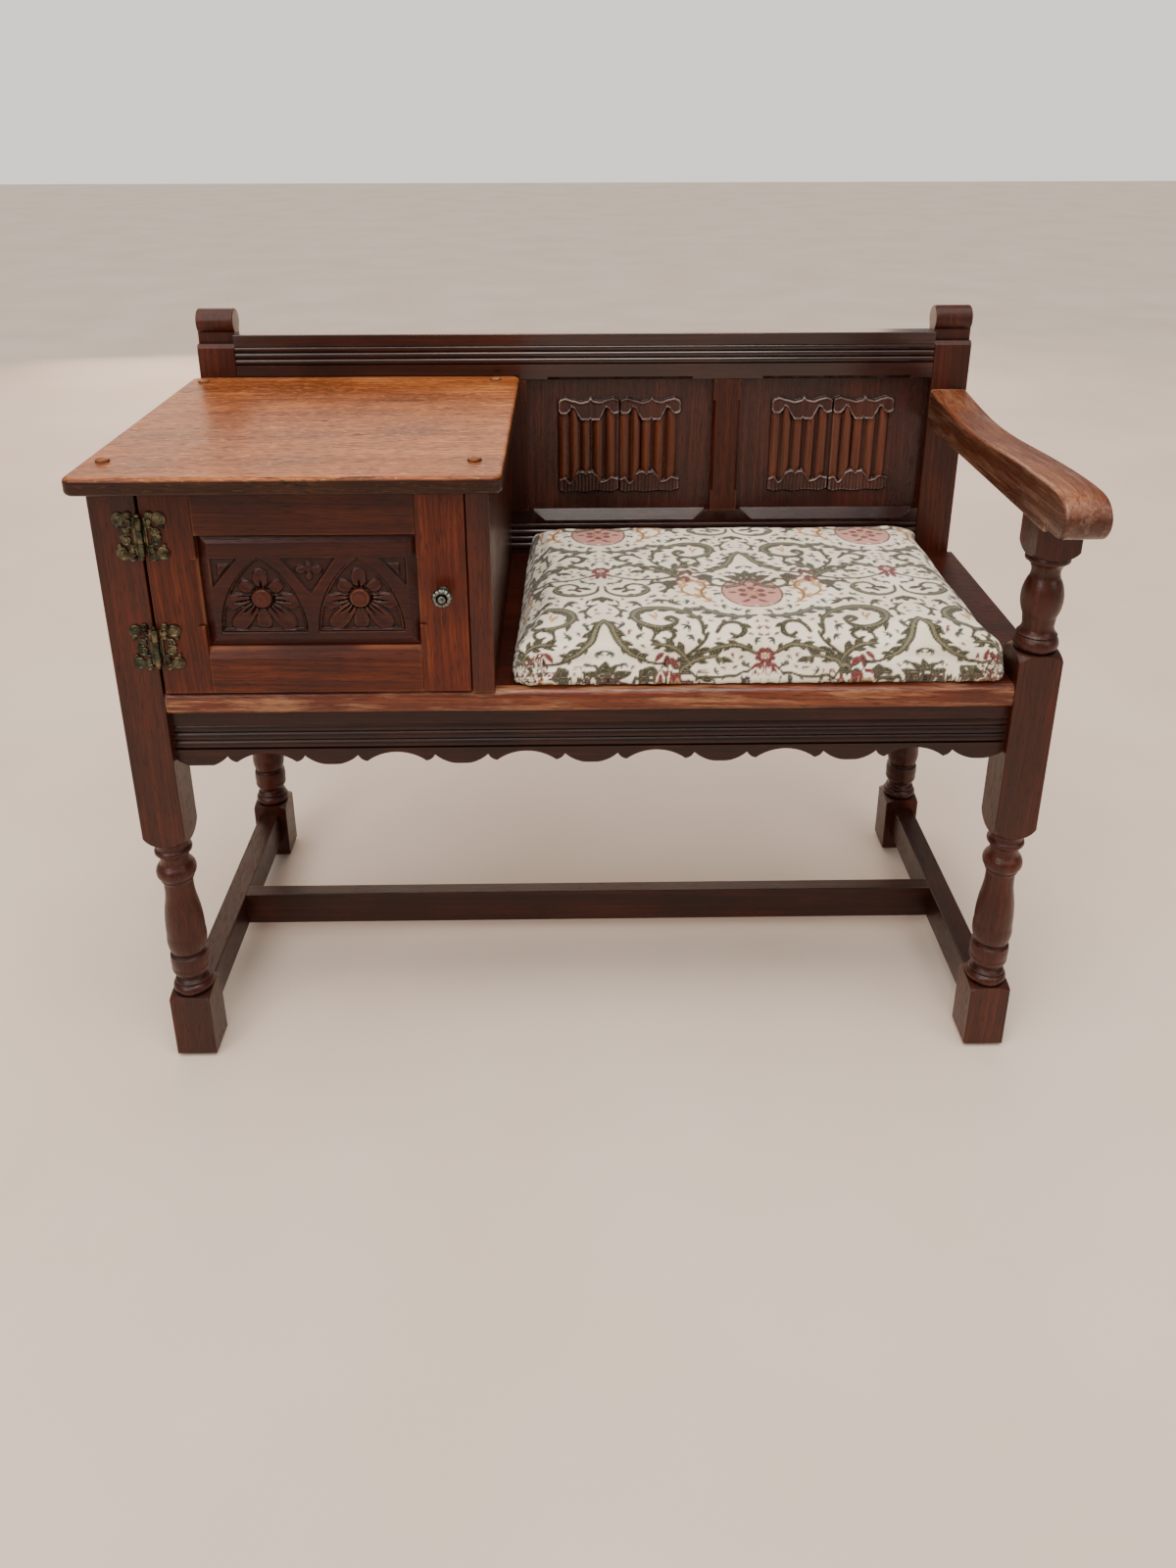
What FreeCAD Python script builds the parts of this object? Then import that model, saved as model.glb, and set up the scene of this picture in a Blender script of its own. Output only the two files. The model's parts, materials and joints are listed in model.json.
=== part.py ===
import FreeCAD, Part
import os

from FreeCAD import Vector

# Oak telephone seat: a small cupboard with a table top on the left, an upholstered
# seat with one arm on the right, four turned legs and an H of stretchers.
#
# Working frame, in millimetres: x runs to the right from the left legs' outer faces,
# y runs back from the front legs' front faces, and z runs up from the floor.
# Every shape is moved on export so that the origin is the centre of the bench's
# footprint, on the floor. Limits along an axis are written as (low, high) pairs.

# ---- Driving dimensions -------------------------------------------------------------
WIDTH = 930.0            # over the legs
DEPTH = 414.0            # front face of the front legs to rear face of the back posts
LEG = 44.0               # square of every leg and post
SEAT_TOP = 458.0         # top of the seat board, and floor of the cupboard
BOARD = 25.0             # thickness of the seat board and its nosing
SEAT_OVERHANG = 7.0      # how far the seat board stands out between the legs at each side
NOSING_Y = (2.0, 14.0)   # the strip along the front of the seat board
NOSING_ROUND = 8.0
CABINET_TOP = 674.0      # underside of the table top
TABLE_TOP = 691.0        # upper face of the table top
ARM_UNDERSIDE = 627.0
SCROLL_UNDERSIDE = 629.5
ARM_TOP = 672.0
RAIL_TOP = 741.0         # top of the upper back rail
POST_BLOCK_TOP = 730.0   # square part of the back posts

# Legs
ARRIS = 1.5              # softened long edges
FOOT_BLOCK_TOP = 83.0
FOOT_CHAMFER = 5.0
SHOULDER = 22.0          # height of the round shoulder under a square part
LOWER_TURNING_TOP = 278.0
ARM_BLOCK_LOW = 592.0    # square block under the arm
FRONT_BLOCK_TOP = 492.0  # square part of the right front leg
TURNED_CORE = 20.5       # radius where a square block meets the turning
CORNER_RADIUS = 31.5     # just outside the square's corners
ROLL_RADIUS = 15.5       # horizontal roll on each back post
ROLL_HEIGHT = 754.5
NECK = (381.0, 401.0)    # neck under the roll
POST_BEVEL = 4.5         # bevel above the post's square part, front and back

# Joinery
TENON = 18.0             # how far a rail's tenon enters a leg
TENON_THICK = 10.0
GROOVE = 6.0             # how far a panel enters its frame

# Rails under the seat
APRON_Y = (10.0, 32.0)
APRON_LOW = 371.0
SIDE_RAIL_LOW = 385.0
SIDE_RAIL_SETBACK = 8.0
SIDE_RAIL_THICK = 22.0
APRON_REEDS = (390.0, 418.0)
LOBE_PITCH = 132.0       # spacing of the large lobes of the apron's lower edge

CORNER_BLOCK = 42.0      # how far a corner block reaches from its leg
CORNER_BLOCK_HEIGHT = 36.0
SEAT_SCREW_HEAD = 4.5
SEAT_SCREW_SHANK = 2.0

# Stretchers
SIDE_STRETCHER_X = (7.0, 33.0)
CENTRE_STRETCHER_Y = (196.0, 214.5)
STRETCHER_Z = (25.0, 68.5)

# Back frame
BACK_Y = (372.0, 396.0)
PANEL_Y = (383.0, 391.0)
PANEL_LOW = 517.0
PANEL_HIGH = 684.5
BACK_STILE_X = (370.0, 392.0)
MUNTIN_X = (621.0, 654.0)
TOP_REEDS = (704.0, 727.0)
LOWER_REEDS = (464.0, 500.0)
SPLAY_HEIGHT = 13.0      # splay under each panel
SPLAY_DEPTH = 8.0
SPLAY_STOP = 16.0        # run of the splay's slanting ends
FRAME_BEVEL = 3.0        # stopped bevels round the panels
BEVEL_STOP = 26.0        # how far they stop short of the corners
FOLD_FRONT = 377.0       # front of the linenfold carving
FOLD_GROUND = 2.5        # thickness of the board that carries the folds
FOLD_PITCH = 13.5
FOLD_EDGE = 7.5          # from the middle of the carving to the first fold
FOLD_SIZE = (151.0, 122.0)
FOLD_MIDDLE_Z = 601.0

# Cabinet
CABINET_RIGHT = 370.0
LEFT_SIDE_X = (8.0, 24.0)
RIGHT_SIDE_X = (352.0, CABINET_RIGHT)
STILE_X = (348.0, CABINET_RIGHT)
STILE_DEPTH = 20.0
TOP_X = (-8.0, 385.0)
TOP_Y = (-33.0, 369.8)
TOP_CORNER = 11.0
TOP_EDGE = 4.5           # rounding of the table top's edge
CLEAT = 18.0             # square of the battens under the table top
CLEAT_Y = (60.0, 350.0)
CLEAT_SCREWS_Y = (110.0, 300.0)
PELLETS = ((12.0, 22.0), (357.0, 18.0), (12.0, 343.0), (357.0, 347.0))
PELLET_RADIUS = 6.0
PELLET_DEPTH = 7.0       # of a pellet's hole in the table top

# Door
DOOR_X = (46.5, 347.0)
DOOR_Z = (460.0, 672.0)
DOOR_THICK = 20.0
OPENING_X = (94.0, 300.0)
OPENING_Z = (508.0, 625.0)
DOOR_TENON = 12.0
DOOR_GROOVE_Y = (7.0, 14.0)  # the plane of the door's tenons and of its panel's edge
DOOR_BEVEL = (7.0, 5.0)      # stopped bevel of the stiles: across and deep
DOOR_BEVEL_Z = (532.0, 601.0)
DOOR_SPLAY = (11.0, 5.5)     # splay of the lower rail: high and deep
PANEL_BEVEL = 9.0
PANEL_FACE_Y = 3.0
BOSS_RADIUS = 9.0
BOSS_Z = 559.0
ARCH_MIDDLES = (147.5, 240.5)
ARCH_WIDTH = 86.0
ARCH_Z = (523.0, 600.0)
KNOB_X = 324.0
KNOB_Z = 566.0
HINGE_AXIS = (45.75, -3.5)   # x and y of the hinge line
HINGE_HEIGHTS = {"upper": 625.0, "lower": 511.0}

# Hinges: sizes about the hinge line
KNUCKLE = 3.0            # outer radius of the barrel
PIN_RADIUS = 1.45
PIN_HOLE = 1.5
LEAF_THICK = 1.5
BARREL = 38.0
LEAF_SCREWS = ((9.5, 15.0), (9.5, -15.0), (17.0, 0.0))
LEAF_SCREW_HEAD = 2.2
LEAF_SCREW_SHANK = 1.1
PIN_BALL = 2.2

# Door catch
CATCH_X = 338.0          # free side of the catch
CATCH_Z = (616.0, 634.0)
CATCH_PLATE_X = (334.0, 345.0)
CATCH_PLATE_THICK = 1.2

# Arm
ARM_REACH = 53.0         # how far the scroll stands in front of the leg
ARM_EDGE = 4.0
ARM_DOWEL_RADIUS = 10.0
ARM_DOWEL = 23.0         # how far the leg's dowel enters the arm
ARM_SCREW_RISE = 20.0    # of the screw's line above the arm's underside
PLUG_RADIUS = 6.0
PLUG_DEPTH = 10.0

# Seat pad
PAD_FRONT = (384.0, 882.0)
PAD_BACK = (389.0, 882.5)
PAD_Y = (5.0, 353.0)
PAD_TOP = 504.0
PAD_CORNER = 15.0        # rounding of the corners seen from above
PAD_ROUND = 10.0         # rounding of the upper edge
PAD_BOARD_TOP = SEAT_TOP + 9.0
PAD_BOARD_INSET = 12.0
PAD_SCREW_INSET = 60.0

ORIGIN_X = (WIDTH + SEAT_OVERHANG + TOP_X[0]) / 2
ORIGIN_Y = (DEPTH - ARM_REACH) / 2

LEFT_X = (0.0, LEG)
RIGHT_X = (WIDTH - LEG, WIDTH)
FRONT_Y = (0.0, LEG)
REAR_Y = (DEPTH - LEG, DEPTH)
BETWEEN_X = (LEG, WIDTH - LEG)
BETWEEN_Y = (LEG, DEPTH - LEG)


# ---- Shape helpers ------------------------------------------------------------------
def block(x, y, z):
    """Return the rectangular solid between the limits given along x, y and z."""
    corner = Vector(x[0], y[0], z[0])
    return Part.makeBox(x[1] - x[0], y[1] - y[0], z[1] - z[0], corner)


def rod(radius, start, end):
    """Return a cylinder between two points."""
    axis = end - start
    return Part.makeCylinder(radius, axis.Length, start, axis)


def middle(pair):
    """Return the value half-way between two limits."""
    return (pair[0] + pair[1]) / 2


def grown(pair, by):
    """Return limits that reach further out by the same amount at both ends."""
    return (pair[0] - by, pair[1] + by)


def joined(shapes):
    """Fuse shapes that share volume or faces into one solid."""
    return shapes[0].multiFuse(shapes[1:]).removeSplitter()


def cut_by(shape, tools):
    """Remove each tool's volume from a shape."""
    for tool in tools:
        shape = shape.cut(tool)
    return shape


def run(start, end, bulge):
    """Join two points (a, b) in a plane by a line, or by an arc.

    A positive bulge puts the arc's middle that far to the right of the direction of
    travel, a negative one to the left, and zero makes a straight run.
    """
    if bulge == 0:
        return Part.LineSegment(Vector(*start, 0), Vector(*end, 0)).toShape()
    along = Vector(end[0] - start[0], end[1] - start[1], 0)
    right = Vector(along.y, -along.x, 0) * (bulge / along.Length)
    centre = Vector((start[0] + end[0]) / 2, (start[1] + end[1]) / 2, 0)
    return Part.Arc(Vector(*start, 0), centre + right, Vector(*end, 0)).toShape()


def outline(stations):
    """Return the closed face through stations (a, b, bulge of the run that ends there)."""
    edges = []
    for before, after in zip(stations, stations[1:] + stations[:1]):
        edges.append(run(before[:2], after[:2], after[2]))
    return Part.Face(Part.Wire(edges))


def prism_x(stations, x):
    """Extrude an outline of (y, z) stations between two x limits."""
    face = outline(stations)
    face.rotate(Vector(), Vector(1, 1, 1), 120)
    face.translate(Vector(x[0], 0, 0))
    return face.extrude(Vector(x[1] - x[0], 0, 0))


def prism_y(stations, y):
    """Extrude an outline of (x, z) stations between two y limits."""
    face = outline(stations)
    face.rotate(Vector(), Vector(1, 0, 0), 90)
    face.translate(Vector(0, y[0], 0))
    return face.extrude(Vector(0, y[1] - y[0], 0))


def prism_z(stations, z):
    """Extrude an outline of (x, y) stations between two z limits."""
    face = outline(stations)
    face.translate(Vector(0, 0, z[0]))
    return face.extrude(Vector(0, 0, z[1] - z[0]))


def turned(stations, x, y):
    """Revolve (radius, z, bulge) stations, listed upwards, about the vertical at x, y."""
    base = (0, stations[0][1], 0)
    cap = (0, stations[-1][1], 0)
    face = outline([base] + stations + [cap])
    face.rotate(Vector(), Vector(1, 0, 0), 90)
    face.translate(Vector(x, y, 0))
    return face.revolve(Vector(x, y, 0), Vector(0, 0, 1), 360)


def edges_along(shape, axis, accept=lambda centre: True):
    """List a shape's straight edges along x, y or z whose middle point is accepted."""
    wanted = []
    for edge in shape.Edges:
        box = edge.BoundBox
        lengths = {"x": box.XLength, "y": box.YLength, "z": box.ZLength}
        others = [length for name, length in lengths.items() if name != axis]
        if max(others) < 0.01 and accept(box.Center):
            wanted.append(edge)
    return wanted


def reed_cutter(x, y_face, z, count, depth=2.5):
    """Return what is cut away to leave a sunk band of half-round reeds along x."""
    pitch = (z[1] - z[0]) / count
    radius = (pitch * pitch / 4 + depth * depth) / (2 * depth)
    band = block(x, (y_face - 1, y_face + depth), z)
    for index in range(count):
        height = z[0] + pitch * (index + 0.5)
        start = Vector(x[0] - 1, y_face + radius, height)
        end = Vector(x[1] + 1, y_face + radius, height)
        band = band.cut(rod(radius, start, end))
    return band.cut(block(grown(x, 1), (y_face - 2, y_face), z))


def stopped_chamfer(x, y_face, z, size):
    """Return the wedge that bevels a front lower edge between stops at two x limits."""
    low = z - 1
    wedge = [(y_face - 1, low, 0), (y_face + size, low, 0), (y_face + size, z, 0),
             (y_face, z + size, 0), (y_face - 1, z + size, 0)]
    return prism_x(wedge, x)


def screw(head, point, head_radius, shank_radius):
    """Return a countersunk screw from the face of its head to its point."""
    axis = point - head
    depth = head_radius - shank_radius
    cone = Part.makeCone(head_radius, shank_radius, depth, head, axis)
    return cone.fuse(rod(shank_radius, head, point))


def group(shapes):
    """Collect separate solids that are one kind of fastener."""
    return Part.makeCompound(shapes)


# ---- Legs and posts -----------------------------------------------------------------
def squared(x, y, z, low_shoulder=0.0, high_shoulder=0.0):
    """Return a square length of leg, its ends turned down to round shoulders."""
    post = block(x, y, z)
    post = post.makeFillet(ARRIS, edges_along(post, "z"))
    stations = []
    if low_shoulder:
        stations.append((TURNED_CORE, z[0], 0))
        stations.append((CORNER_RADIUS, z[0] + low_shoulder, low_shoulder / 6))
    else:
        stations.append((CORNER_RADIUS, z[0], 0))
    if high_shoulder:
        stations.append((CORNER_RADIUS, z[1] - high_shoulder, 0))
        stations.append((TURNED_CORE, z[1], high_shoulder / 6))
    else:
        stations.append((CORNER_RADIUS, z[1], 0))
    return post.common(turned(stations, middle(x), middle(y)))


def foot_block(x, y):
    """Return the square foot with its lower edges taken off."""
    foot = squared(x, y, (0, FOOT_BLOCK_TOP), high_shoulder=5.0)
    low, high = FOOT_CHAMFER, 3 * LEG
    side = LEG / 2
    profile = [(-side, low, 0), (low - side, 0, 0), (side - low, 0, 0), (side, low, 0),
               (side, high, 0), (-side, high, 0)]
    across = prism_x([(middle(y) + a, b, 0) for a, b, _ in profile], x)
    along = prism_y([(middle(x) + a, b, 0) for a, b, _ in profile], y)
    return foot.common(across).common(along)


def lower_turning(x, y):
    """Return the turned baluster between a foot block and the square above it."""
    base = FOOT_BLOCK_TOP - 0.5
    stations = [
        (18.5, base, 0),
        (18.5, 93.5, 3.0),       # torus on the foot block
        (17.2, 94.5, 0),
        (17.2, 98.0, 1.3),       # thin ring
        (15.0, 100.0, 0),
        (15.0, 103.5, -0.6),     # neck
        (20.0, 115.5, 2.2),      # cup
        (20.0, 130.0, 0.6),
        (17.2, 131.5, 0),
        (17.2, 134.0, -0.5),     # dark groove
        (19.2, 137.0, 0),
        (20.4, 158.0, 1.2),      # belly of the vase
        (17.6, 195.0, 0.9),
        (15.2, 222.0, -0.9),     # waist of the vase
        (17.4, 228.0, -0.8),
        (17.2, 230.0, 0),
        (17.2, 247.0, 3.6),      # upper torus
        (15.8, 249.0, 0),
        (15.8, 259.0, -1.0),     # cove
        (18.6, 262.0, 0),
        (18.6, 267.0, 0.9),      # ring
        (17.2, 268.5, 0),
        (17.2, 272.0, -0.4),
        (TURNED_CORE, LOWER_TURNING_TOP + 0.5, -0.8),
    ]
    return turned(stations, middle(x), middle(y))


def arm_support(x, y):
    """Return the ball turning that carries the arm on the right front leg."""
    stations = [
        (18.5, FRONT_BLOCK_TOP - 0.5, 0),
        (18.5, 507.5, 3.4),      # torus
        (19.6, 509.0, 0),
        (15.6, 521.0, -1.8),     # neck
        (16.2, 528.0, 0),
        (14.6, 569.0, 4.9),      # ball
        (13.8, 573.0, 0),
        (21.2, 587.0, -2.4),     # bell
        (21.2, 590.5, 0.3),
        (TURNED_CORE, ARM_BLOCK_LOW + 0.5, 0),
    ]
    return turned(stations, middle(x), middle(y))


def leg_base(x, y, square_top, high_shoulder=0.0):
    """Return a leg from its foot to the top of its square part."""
    square = squared(x, y, (LOWER_TURNING_TOP, square_top), SHOULDER, high_shoulder)
    return [foot_block(x, y), lower_turning(x, y), square]


def front_left_leg():
    """The left front leg runs up to the table top and carries the hinges."""
    return joined(leg_base(LEFT_X, FRONT_Y, CABINET_TOP))


def front_right_leg():
    """The right front leg ends in a ball, a block and a dowel for the arm."""
    parts = leg_base(RIGHT_X, FRONT_Y, FRONT_BLOCK_TOP, 9.0)
    parts.append(arm_support(RIGHT_X, FRONT_Y))
    parts.append(squared(RIGHT_X, FRONT_Y, (ARM_BLOCK_LOW, ARM_UNDERSIDE), 12.0))
    centre = Vector(middle(RIGHT_X), middle(FRONT_Y), ARM_UNDERSIDE - 1)
    parts.append(rod(ARM_DOWEL_RADIUS, centre, centre + Vector(0, 0, ARM_DOWEL + 1)))
    return joined(parts)


def back_post(x):
    """A back post: leg, square post, narrow neck and horizontal roll."""
    neck = block(x, NECK, (POST_BLOCK_TOP - 1, ROLL_HEIGHT - 8))
    centre_y = middle(NECK)
    roll = rod(ROLL_RADIUS, Vector(x[0], centre_y, ROLL_HEIGHT), Vector(x[1], centre_y, ROLL_HEIGHT))
    ends = [edge for edge in roll.Edges if edge.Closed]
    roll = roll.makeFillet(ARRIS, ends)
    post = joined(leg_base(x, REAR_Y, POST_BLOCK_TOP))
    top = POST_BLOCK_TOP
    for face, inward in ((REAR_Y[0], 1), (REAR_Y[1], -1)):
        bevel = [(face - inward, top - POST_BEVEL, 0), (face, top - POST_BEVEL, 0),
                 (face + inward * POST_BEVEL, top, 0), (face + inward * POST_BEVEL, top + 1, 0),
                 (face - inward, top + 1, 0)]
        post = post.cut(prism_x(bevel, grown(x, 1)))
    return joined([post, neck, roll])


# ---- Rails and stretchers -----------------------------------------------------------
def rail_x(x, y, z, tenon_z, reach=TENON, tenon_y=None):
    """Return a rail along x with a tenon at each end."""
    tenon_y = tenon_y or grown((middle(y), middle(y)), TENON_THICK / 2)
    rail = block(x, y, z)
    rail = rail.makeFillet(ARRIS, edges_along(rail, "x"))
    return joined([rail, block(grown(x, reach), tenon_y, tenon_z)])


def rail_y(x, y, z, tenon_z, reach=TENON):
    """Return a rail along y with a tenon at each end."""
    tenon_x = grown((middle(x), middle(x)), TENON_THICK / 2)
    rail = block(x, y, z)
    rail = rail.makeFillet(ARRIS, edges_along(rail, "y"))
    return joined([rail, block(tenon_x, grown(y, reach), tenon_z)])


def apron_edge():
    """List the stations of the apron's lower edge from left to right."""
    centre = WIDTH / 2
    half_arch, half_cusp = 30.0, 39.0
    tip, cusp, crown, lobe = 375.0, 382.0, 385.5, 371.0
    stations = [(BETWEEN_X[0], 379.0, 0)]
    for index in range(-3, 4):
        arch = centre + LOBE_PITCH * (index - 0.5)
        if index > -3:
            stations.append((arch - half_cusp, cusp, cusp - lobe))
            stations.append((arch - half_arch, tip, 1.5))
            stations.append((arch + half_arch, tip, tip - crown))
            stations.append((arch + half_cusp, cusp, 1.5))
    stations.append((BETWEEN_X[1], 379.0, 9.0))
    return stations


def front_apron():
    """The front rail: a reeded band above a scalloped lower edge."""
    top = SEAT_TOP - BOARD
    rail = rail_x(BETWEEN_X, APRON_Y, (APRON_LOW, top), (SIDE_RAIL_LOW, top - 5))
    lower = apron_edge() + [(BETWEEN_X[1], APRON_LOW - 9, 0), (BETWEEN_X[0], APRON_LOW - 9, 0)]
    rail = rail.cut(prism_y(lower, grown(APRON_Y, 1)))
    return rail.cut(reed_cutter(BETWEEN_X, APRON_Y[0], APRON_REEDS, 3))


def side_rail(x):
    """A plain rail under the seat, from a front leg to a back post."""
    top = SEAT_TOP - BOARD
    return rail_y(x, BETWEEN_Y, (SIDE_RAIL_LOW, top), (SIDE_RAIL_LOW + 5, top - 5))


def back_seat_rail():
    """The plain rail under the back of the seat."""
    top = SEAT_TOP - BOARD
    y = (DEPTH - 32.0, DEPTH - 10.0)
    return rail_x(BETWEEN_X, y, (SIDE_RAIL_LOW, top), (SIDE_RAIL_LOW + 5, top - 5))


def side_stretcher(x):
    """A low rail between the foot blocks of one side."""
    return rail_y(x, BETWEEN_Y, STRETCHER_Z, grown(STRETCHER_Z, -6))


def centre_stretcher():
    """The long stretcher between the two side stretchers."""
    inset = SIDE_STRETCHER_X[1]
    x = (inset, WIDTH - inset)
    return rail_x(x, CENTRE_STRETCHER_Y, STRETCHER_Z, grown(STRETCHER_Z, -6), reach=10.0)


# ---- Seat ---------------------------------------------------------------------------
def seat_board():
    """The board under pad and cupboard, notched round the legs."""
    x = grown((0, WIDTH), SEAT_OVERHANG)
    z = (SEAT_TOP - BOARD, SEAT_TOP)
    board = block(x, (NOSING_Y[1], BACK_Y[1]), z)
    board = board.makeFillet(SEAT_OVERHANG / 2, edges_along(board, "y"))
    for notch_x in ((x[0] - 1, LEG), (WIDTH - LEG, x[1] + 1)):
        for notch_y in (FRONT_Y, REAR_Y):
            board = board.cut(block(notch_x, notch_y, grown(z, 1)))
    return board


def seat_nosing():
    """The rounded strip along the front of the seat board."""
    nosing = block(BETWEEN_X, NOSING_Y, (SEAT_TOP - BOARD, SEAT_TOP))
    front = edges_along(nosing, "x", lambda centre: centre.y < 3)
    return nosing.makeFillet(NOSING_ROUND, front)


def corner_block(x_sign, y_sign):
    """A glue block in one corner under the seat, beside its leg."""
    corner_x = 0 if x_sign > 0 else WIDTH
    corner_y = 0 if y_sign > 0 else DEPTH
    inner_x = SIDE_RAIL_SETBACK + SIDE_RAIL_THICK
    inner_y = APRON_Y[1]
    reach = LEG + CORNER_BLOCK
    plan = [(LEG, inner_y), (reach, inner_y), (inner_x, reach), (inner_x, LEG), (LEG, LEG)]
    stations = [(corner_x + x_sign * a, corner_y + y_sign * b, 0) for a, b in plan]
    underside = SEAT_TOP - BOARD
    return prism_z(stations, (underside - CORNER_BLOCK_HEIGHT, underside))


def corner_screws():
    """The screws through the corner blocks into the seat board."""
    inset = LEG + 10
    screws = []
    for x in (inset, WIDTH - inset):
        for y in (inset, DEPTH - inset):
            head = Vector(x, y, SEAT_TOP - BOARD - CORNER_BLOCK_HEIGHT)
            point = head + Vector(0, 0, CORNER_BLOCK_HEIGHT + 16)
            screws.append(screw(head, point, SEAT_SCREW_HEAD, SEAT_SCREW_SHANK))
    return group(screws)


def seat_pad():
    """The upholstered pad, nearly as wide at the back, hollowed for its board."""
    plan = [(PAD_FRONT[0], PAD_Y[0], 0), (PAD_FRONT[1], PAD_Y[0], 0),
            (PAD_BACK[1], PAD_Y[1], 0), (PAD_BACK[0], PAD_Y[1], 0)]
    pad = prism_z(plan, (SEAT_TOP, PAD_TOP))
    pad = pad.makeFillet(PAD_CORNER, edges_along(pad, "z"))
    rim = [edge for edge in pad.Edges if edge.BoundBox.ZMin > PAD_TOP - 0.01]
    return pad.makeFillet(PAD_ROUND, rim)


def seat_pad_board():
    """The plywood base inside the pad."""
    x = grown(PAD_BACK, -PAD_BOARD_INSET)
    return block(x, grown(PAD_Y, -PAD_BOARD_INSET), (SEAT_TOP, PAD_BOARD_TOP))


def pad_screws():
    """The screws from under the seat board into the pad's board."""
    screws = []
    for x in grown(PAD_BACK, -PAD_SCREW_INSET):
        for y in grown(PAD_Y, -PAD_SCREW_INSET):
            head = Vector(x, y, SEAT_TOP - BOARD)
            point = head + Vector(0, 0, BOARD + 7)
            screws.append(screw(head, point, SEAT_SCREW_HEAD, SEAT_SCREW_SHANK))
    return group(screws)


# ---- Back ---------------------------------------------------------------------------
def top_back_rail():
    """The upper back rail, with a reeded band and bevels over the two panels."""
    tenon_z = (PANEL_HIGH + 8, RAIL_TOP - 14)
    rail = rail_x(BETWEEN_X, BACK_Y, (PANEL_HIGH, RAIL_TOP), tenon_z, tenon_y=PANEL_Y)
    rail = rail.cut(reed_cutter(BETWEEN_X, BACK_Y[0], TOP_REEDS, 3))
    for left, right in ((BACK_STILE_X[1], MUNTIN_X[0]), (MUNTIN_X[1], RIGHT_X[0])):
        span = (left + BEVEL_STOP, right - BEVEL_STOP)
        rail = rail.cut(stopped_chamfer(span, BACK_Y[0], PANEL_HIGH, FRAME_BEVEL + 1))
    return rail


def lower_back_rail():
    """The lower back rail, reeded in front and splayed towards the panels."""
    z = (SEAT_TOP, PANEL_LOW)
    tenon_z = (SEAT_TOP + 8, PANEL_LOW - 8)
    rail = block(BETWEEN_X, BACK_Y, z)
    rail = joined([rail, block(grown(BETWEEN_X, TENON), PANEL_Y, tenon_z)])
    front, foot = BACK_Y[0], PANEL_LOW - SPLAY_HEIGHT
    back = front + SPLAY_DEPTH
    splay = [(front - 1, foot, 0), (front, foot, 0), (back, PANEL_LOW, 0),
             (back, PANEL_LOW + 1, 0), (front - 1, PANEL_LOW + 1, 0)]
    for left, right in ((BACK_STILE_X[1], MUNTIN_X[0]), (MUNTIN_X[1], RIGHT_X[0])):
        left, right = left + 5, right - 5
        face = [(left + SPLAY_STOP, foot, 0), (right - SPLAY_STOP, foot, 0),
                (right, PANEL_LOW + 1, 0), (left, PANEL_LOW + 1, 0)]
        wedge = prism_x(splay, (left, right))
        rail = rail.cut(wedge.common(prism_y(face, grown(BACK_Y, 2))))
    return rail.cut(reed_cutter((CABINET_RIGHT, BETWEEN_X[1]), BACK_Y[0], LOWER_REEDS, 4))


def upright(x, tenon_x, bevelled):
    """A member of the back frame, with stopped bevels along the edges listed."""
    body = block(x, BACK_Y, (PANEL_LOW, PANEL_HIGH))
    front = BACK_Y[0]
    for edge in bevelled:
        inward = 1 if edge < middle(x) else -1
        bevel = [(edge - inward, front - 1, 0), (edge + inward * FRAME_BEVEL, front - 1, 0),
                 (edge + inward * FRAME_BEVEL, front, 0), (edge, front + FRAME_BEVEL, 0),
                 (edge - inward, front + FRAME_BEVEL, 0)]
        body = body.cut(prism_z(bevel, (PANEL_LOW + BEVEL_STOP, PANEL_HIGH - BEVEL_STOP)))
    return joined([body, block(tenon_x, PANEL_Y, (PANEL_LOW - 12, PANEL_HIGH + 12))])


def plain_panel(x):
    """A thin panel held in the grooves of the back frame."""
    return block(grown(x, GROOVE), PANEL_Y, (PANEL_LOW - GROOVE, PANEL_HIGH + GROOVE))


def linenfold_panel(x):
    """A back panel with a carved field of two bundles of upright folds."""
    centre = middle(x)
    width, height = FOLD_SIZE
    z = (FOLD_MIDDLE_Z - height / 2, FOLD_MIDDLE_Z + height / 2)
    parts = [plain_panel(x)]
    ground = (PANEL_Y[0] - FOLD_GROUND, PANEL_Y[0])
    parts.append(block((centre - width / 2, centre + width / 2), ground, z))
    for side in (-1, 1):
        for index in range(5):
            ridge = centre + side * (FOLD_EDGE + FOLD_PITCH * (index + 0.5))
            start = Vector(ridge, PANEL_Y[0] - 0.5, z[0] + 16)
            parts.append(rod(PANEL_Y[0] - 0.5 - FOLD_FRONT, start, start + Vector(0, 0, height - 34)))
    return joined(parts)


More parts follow.
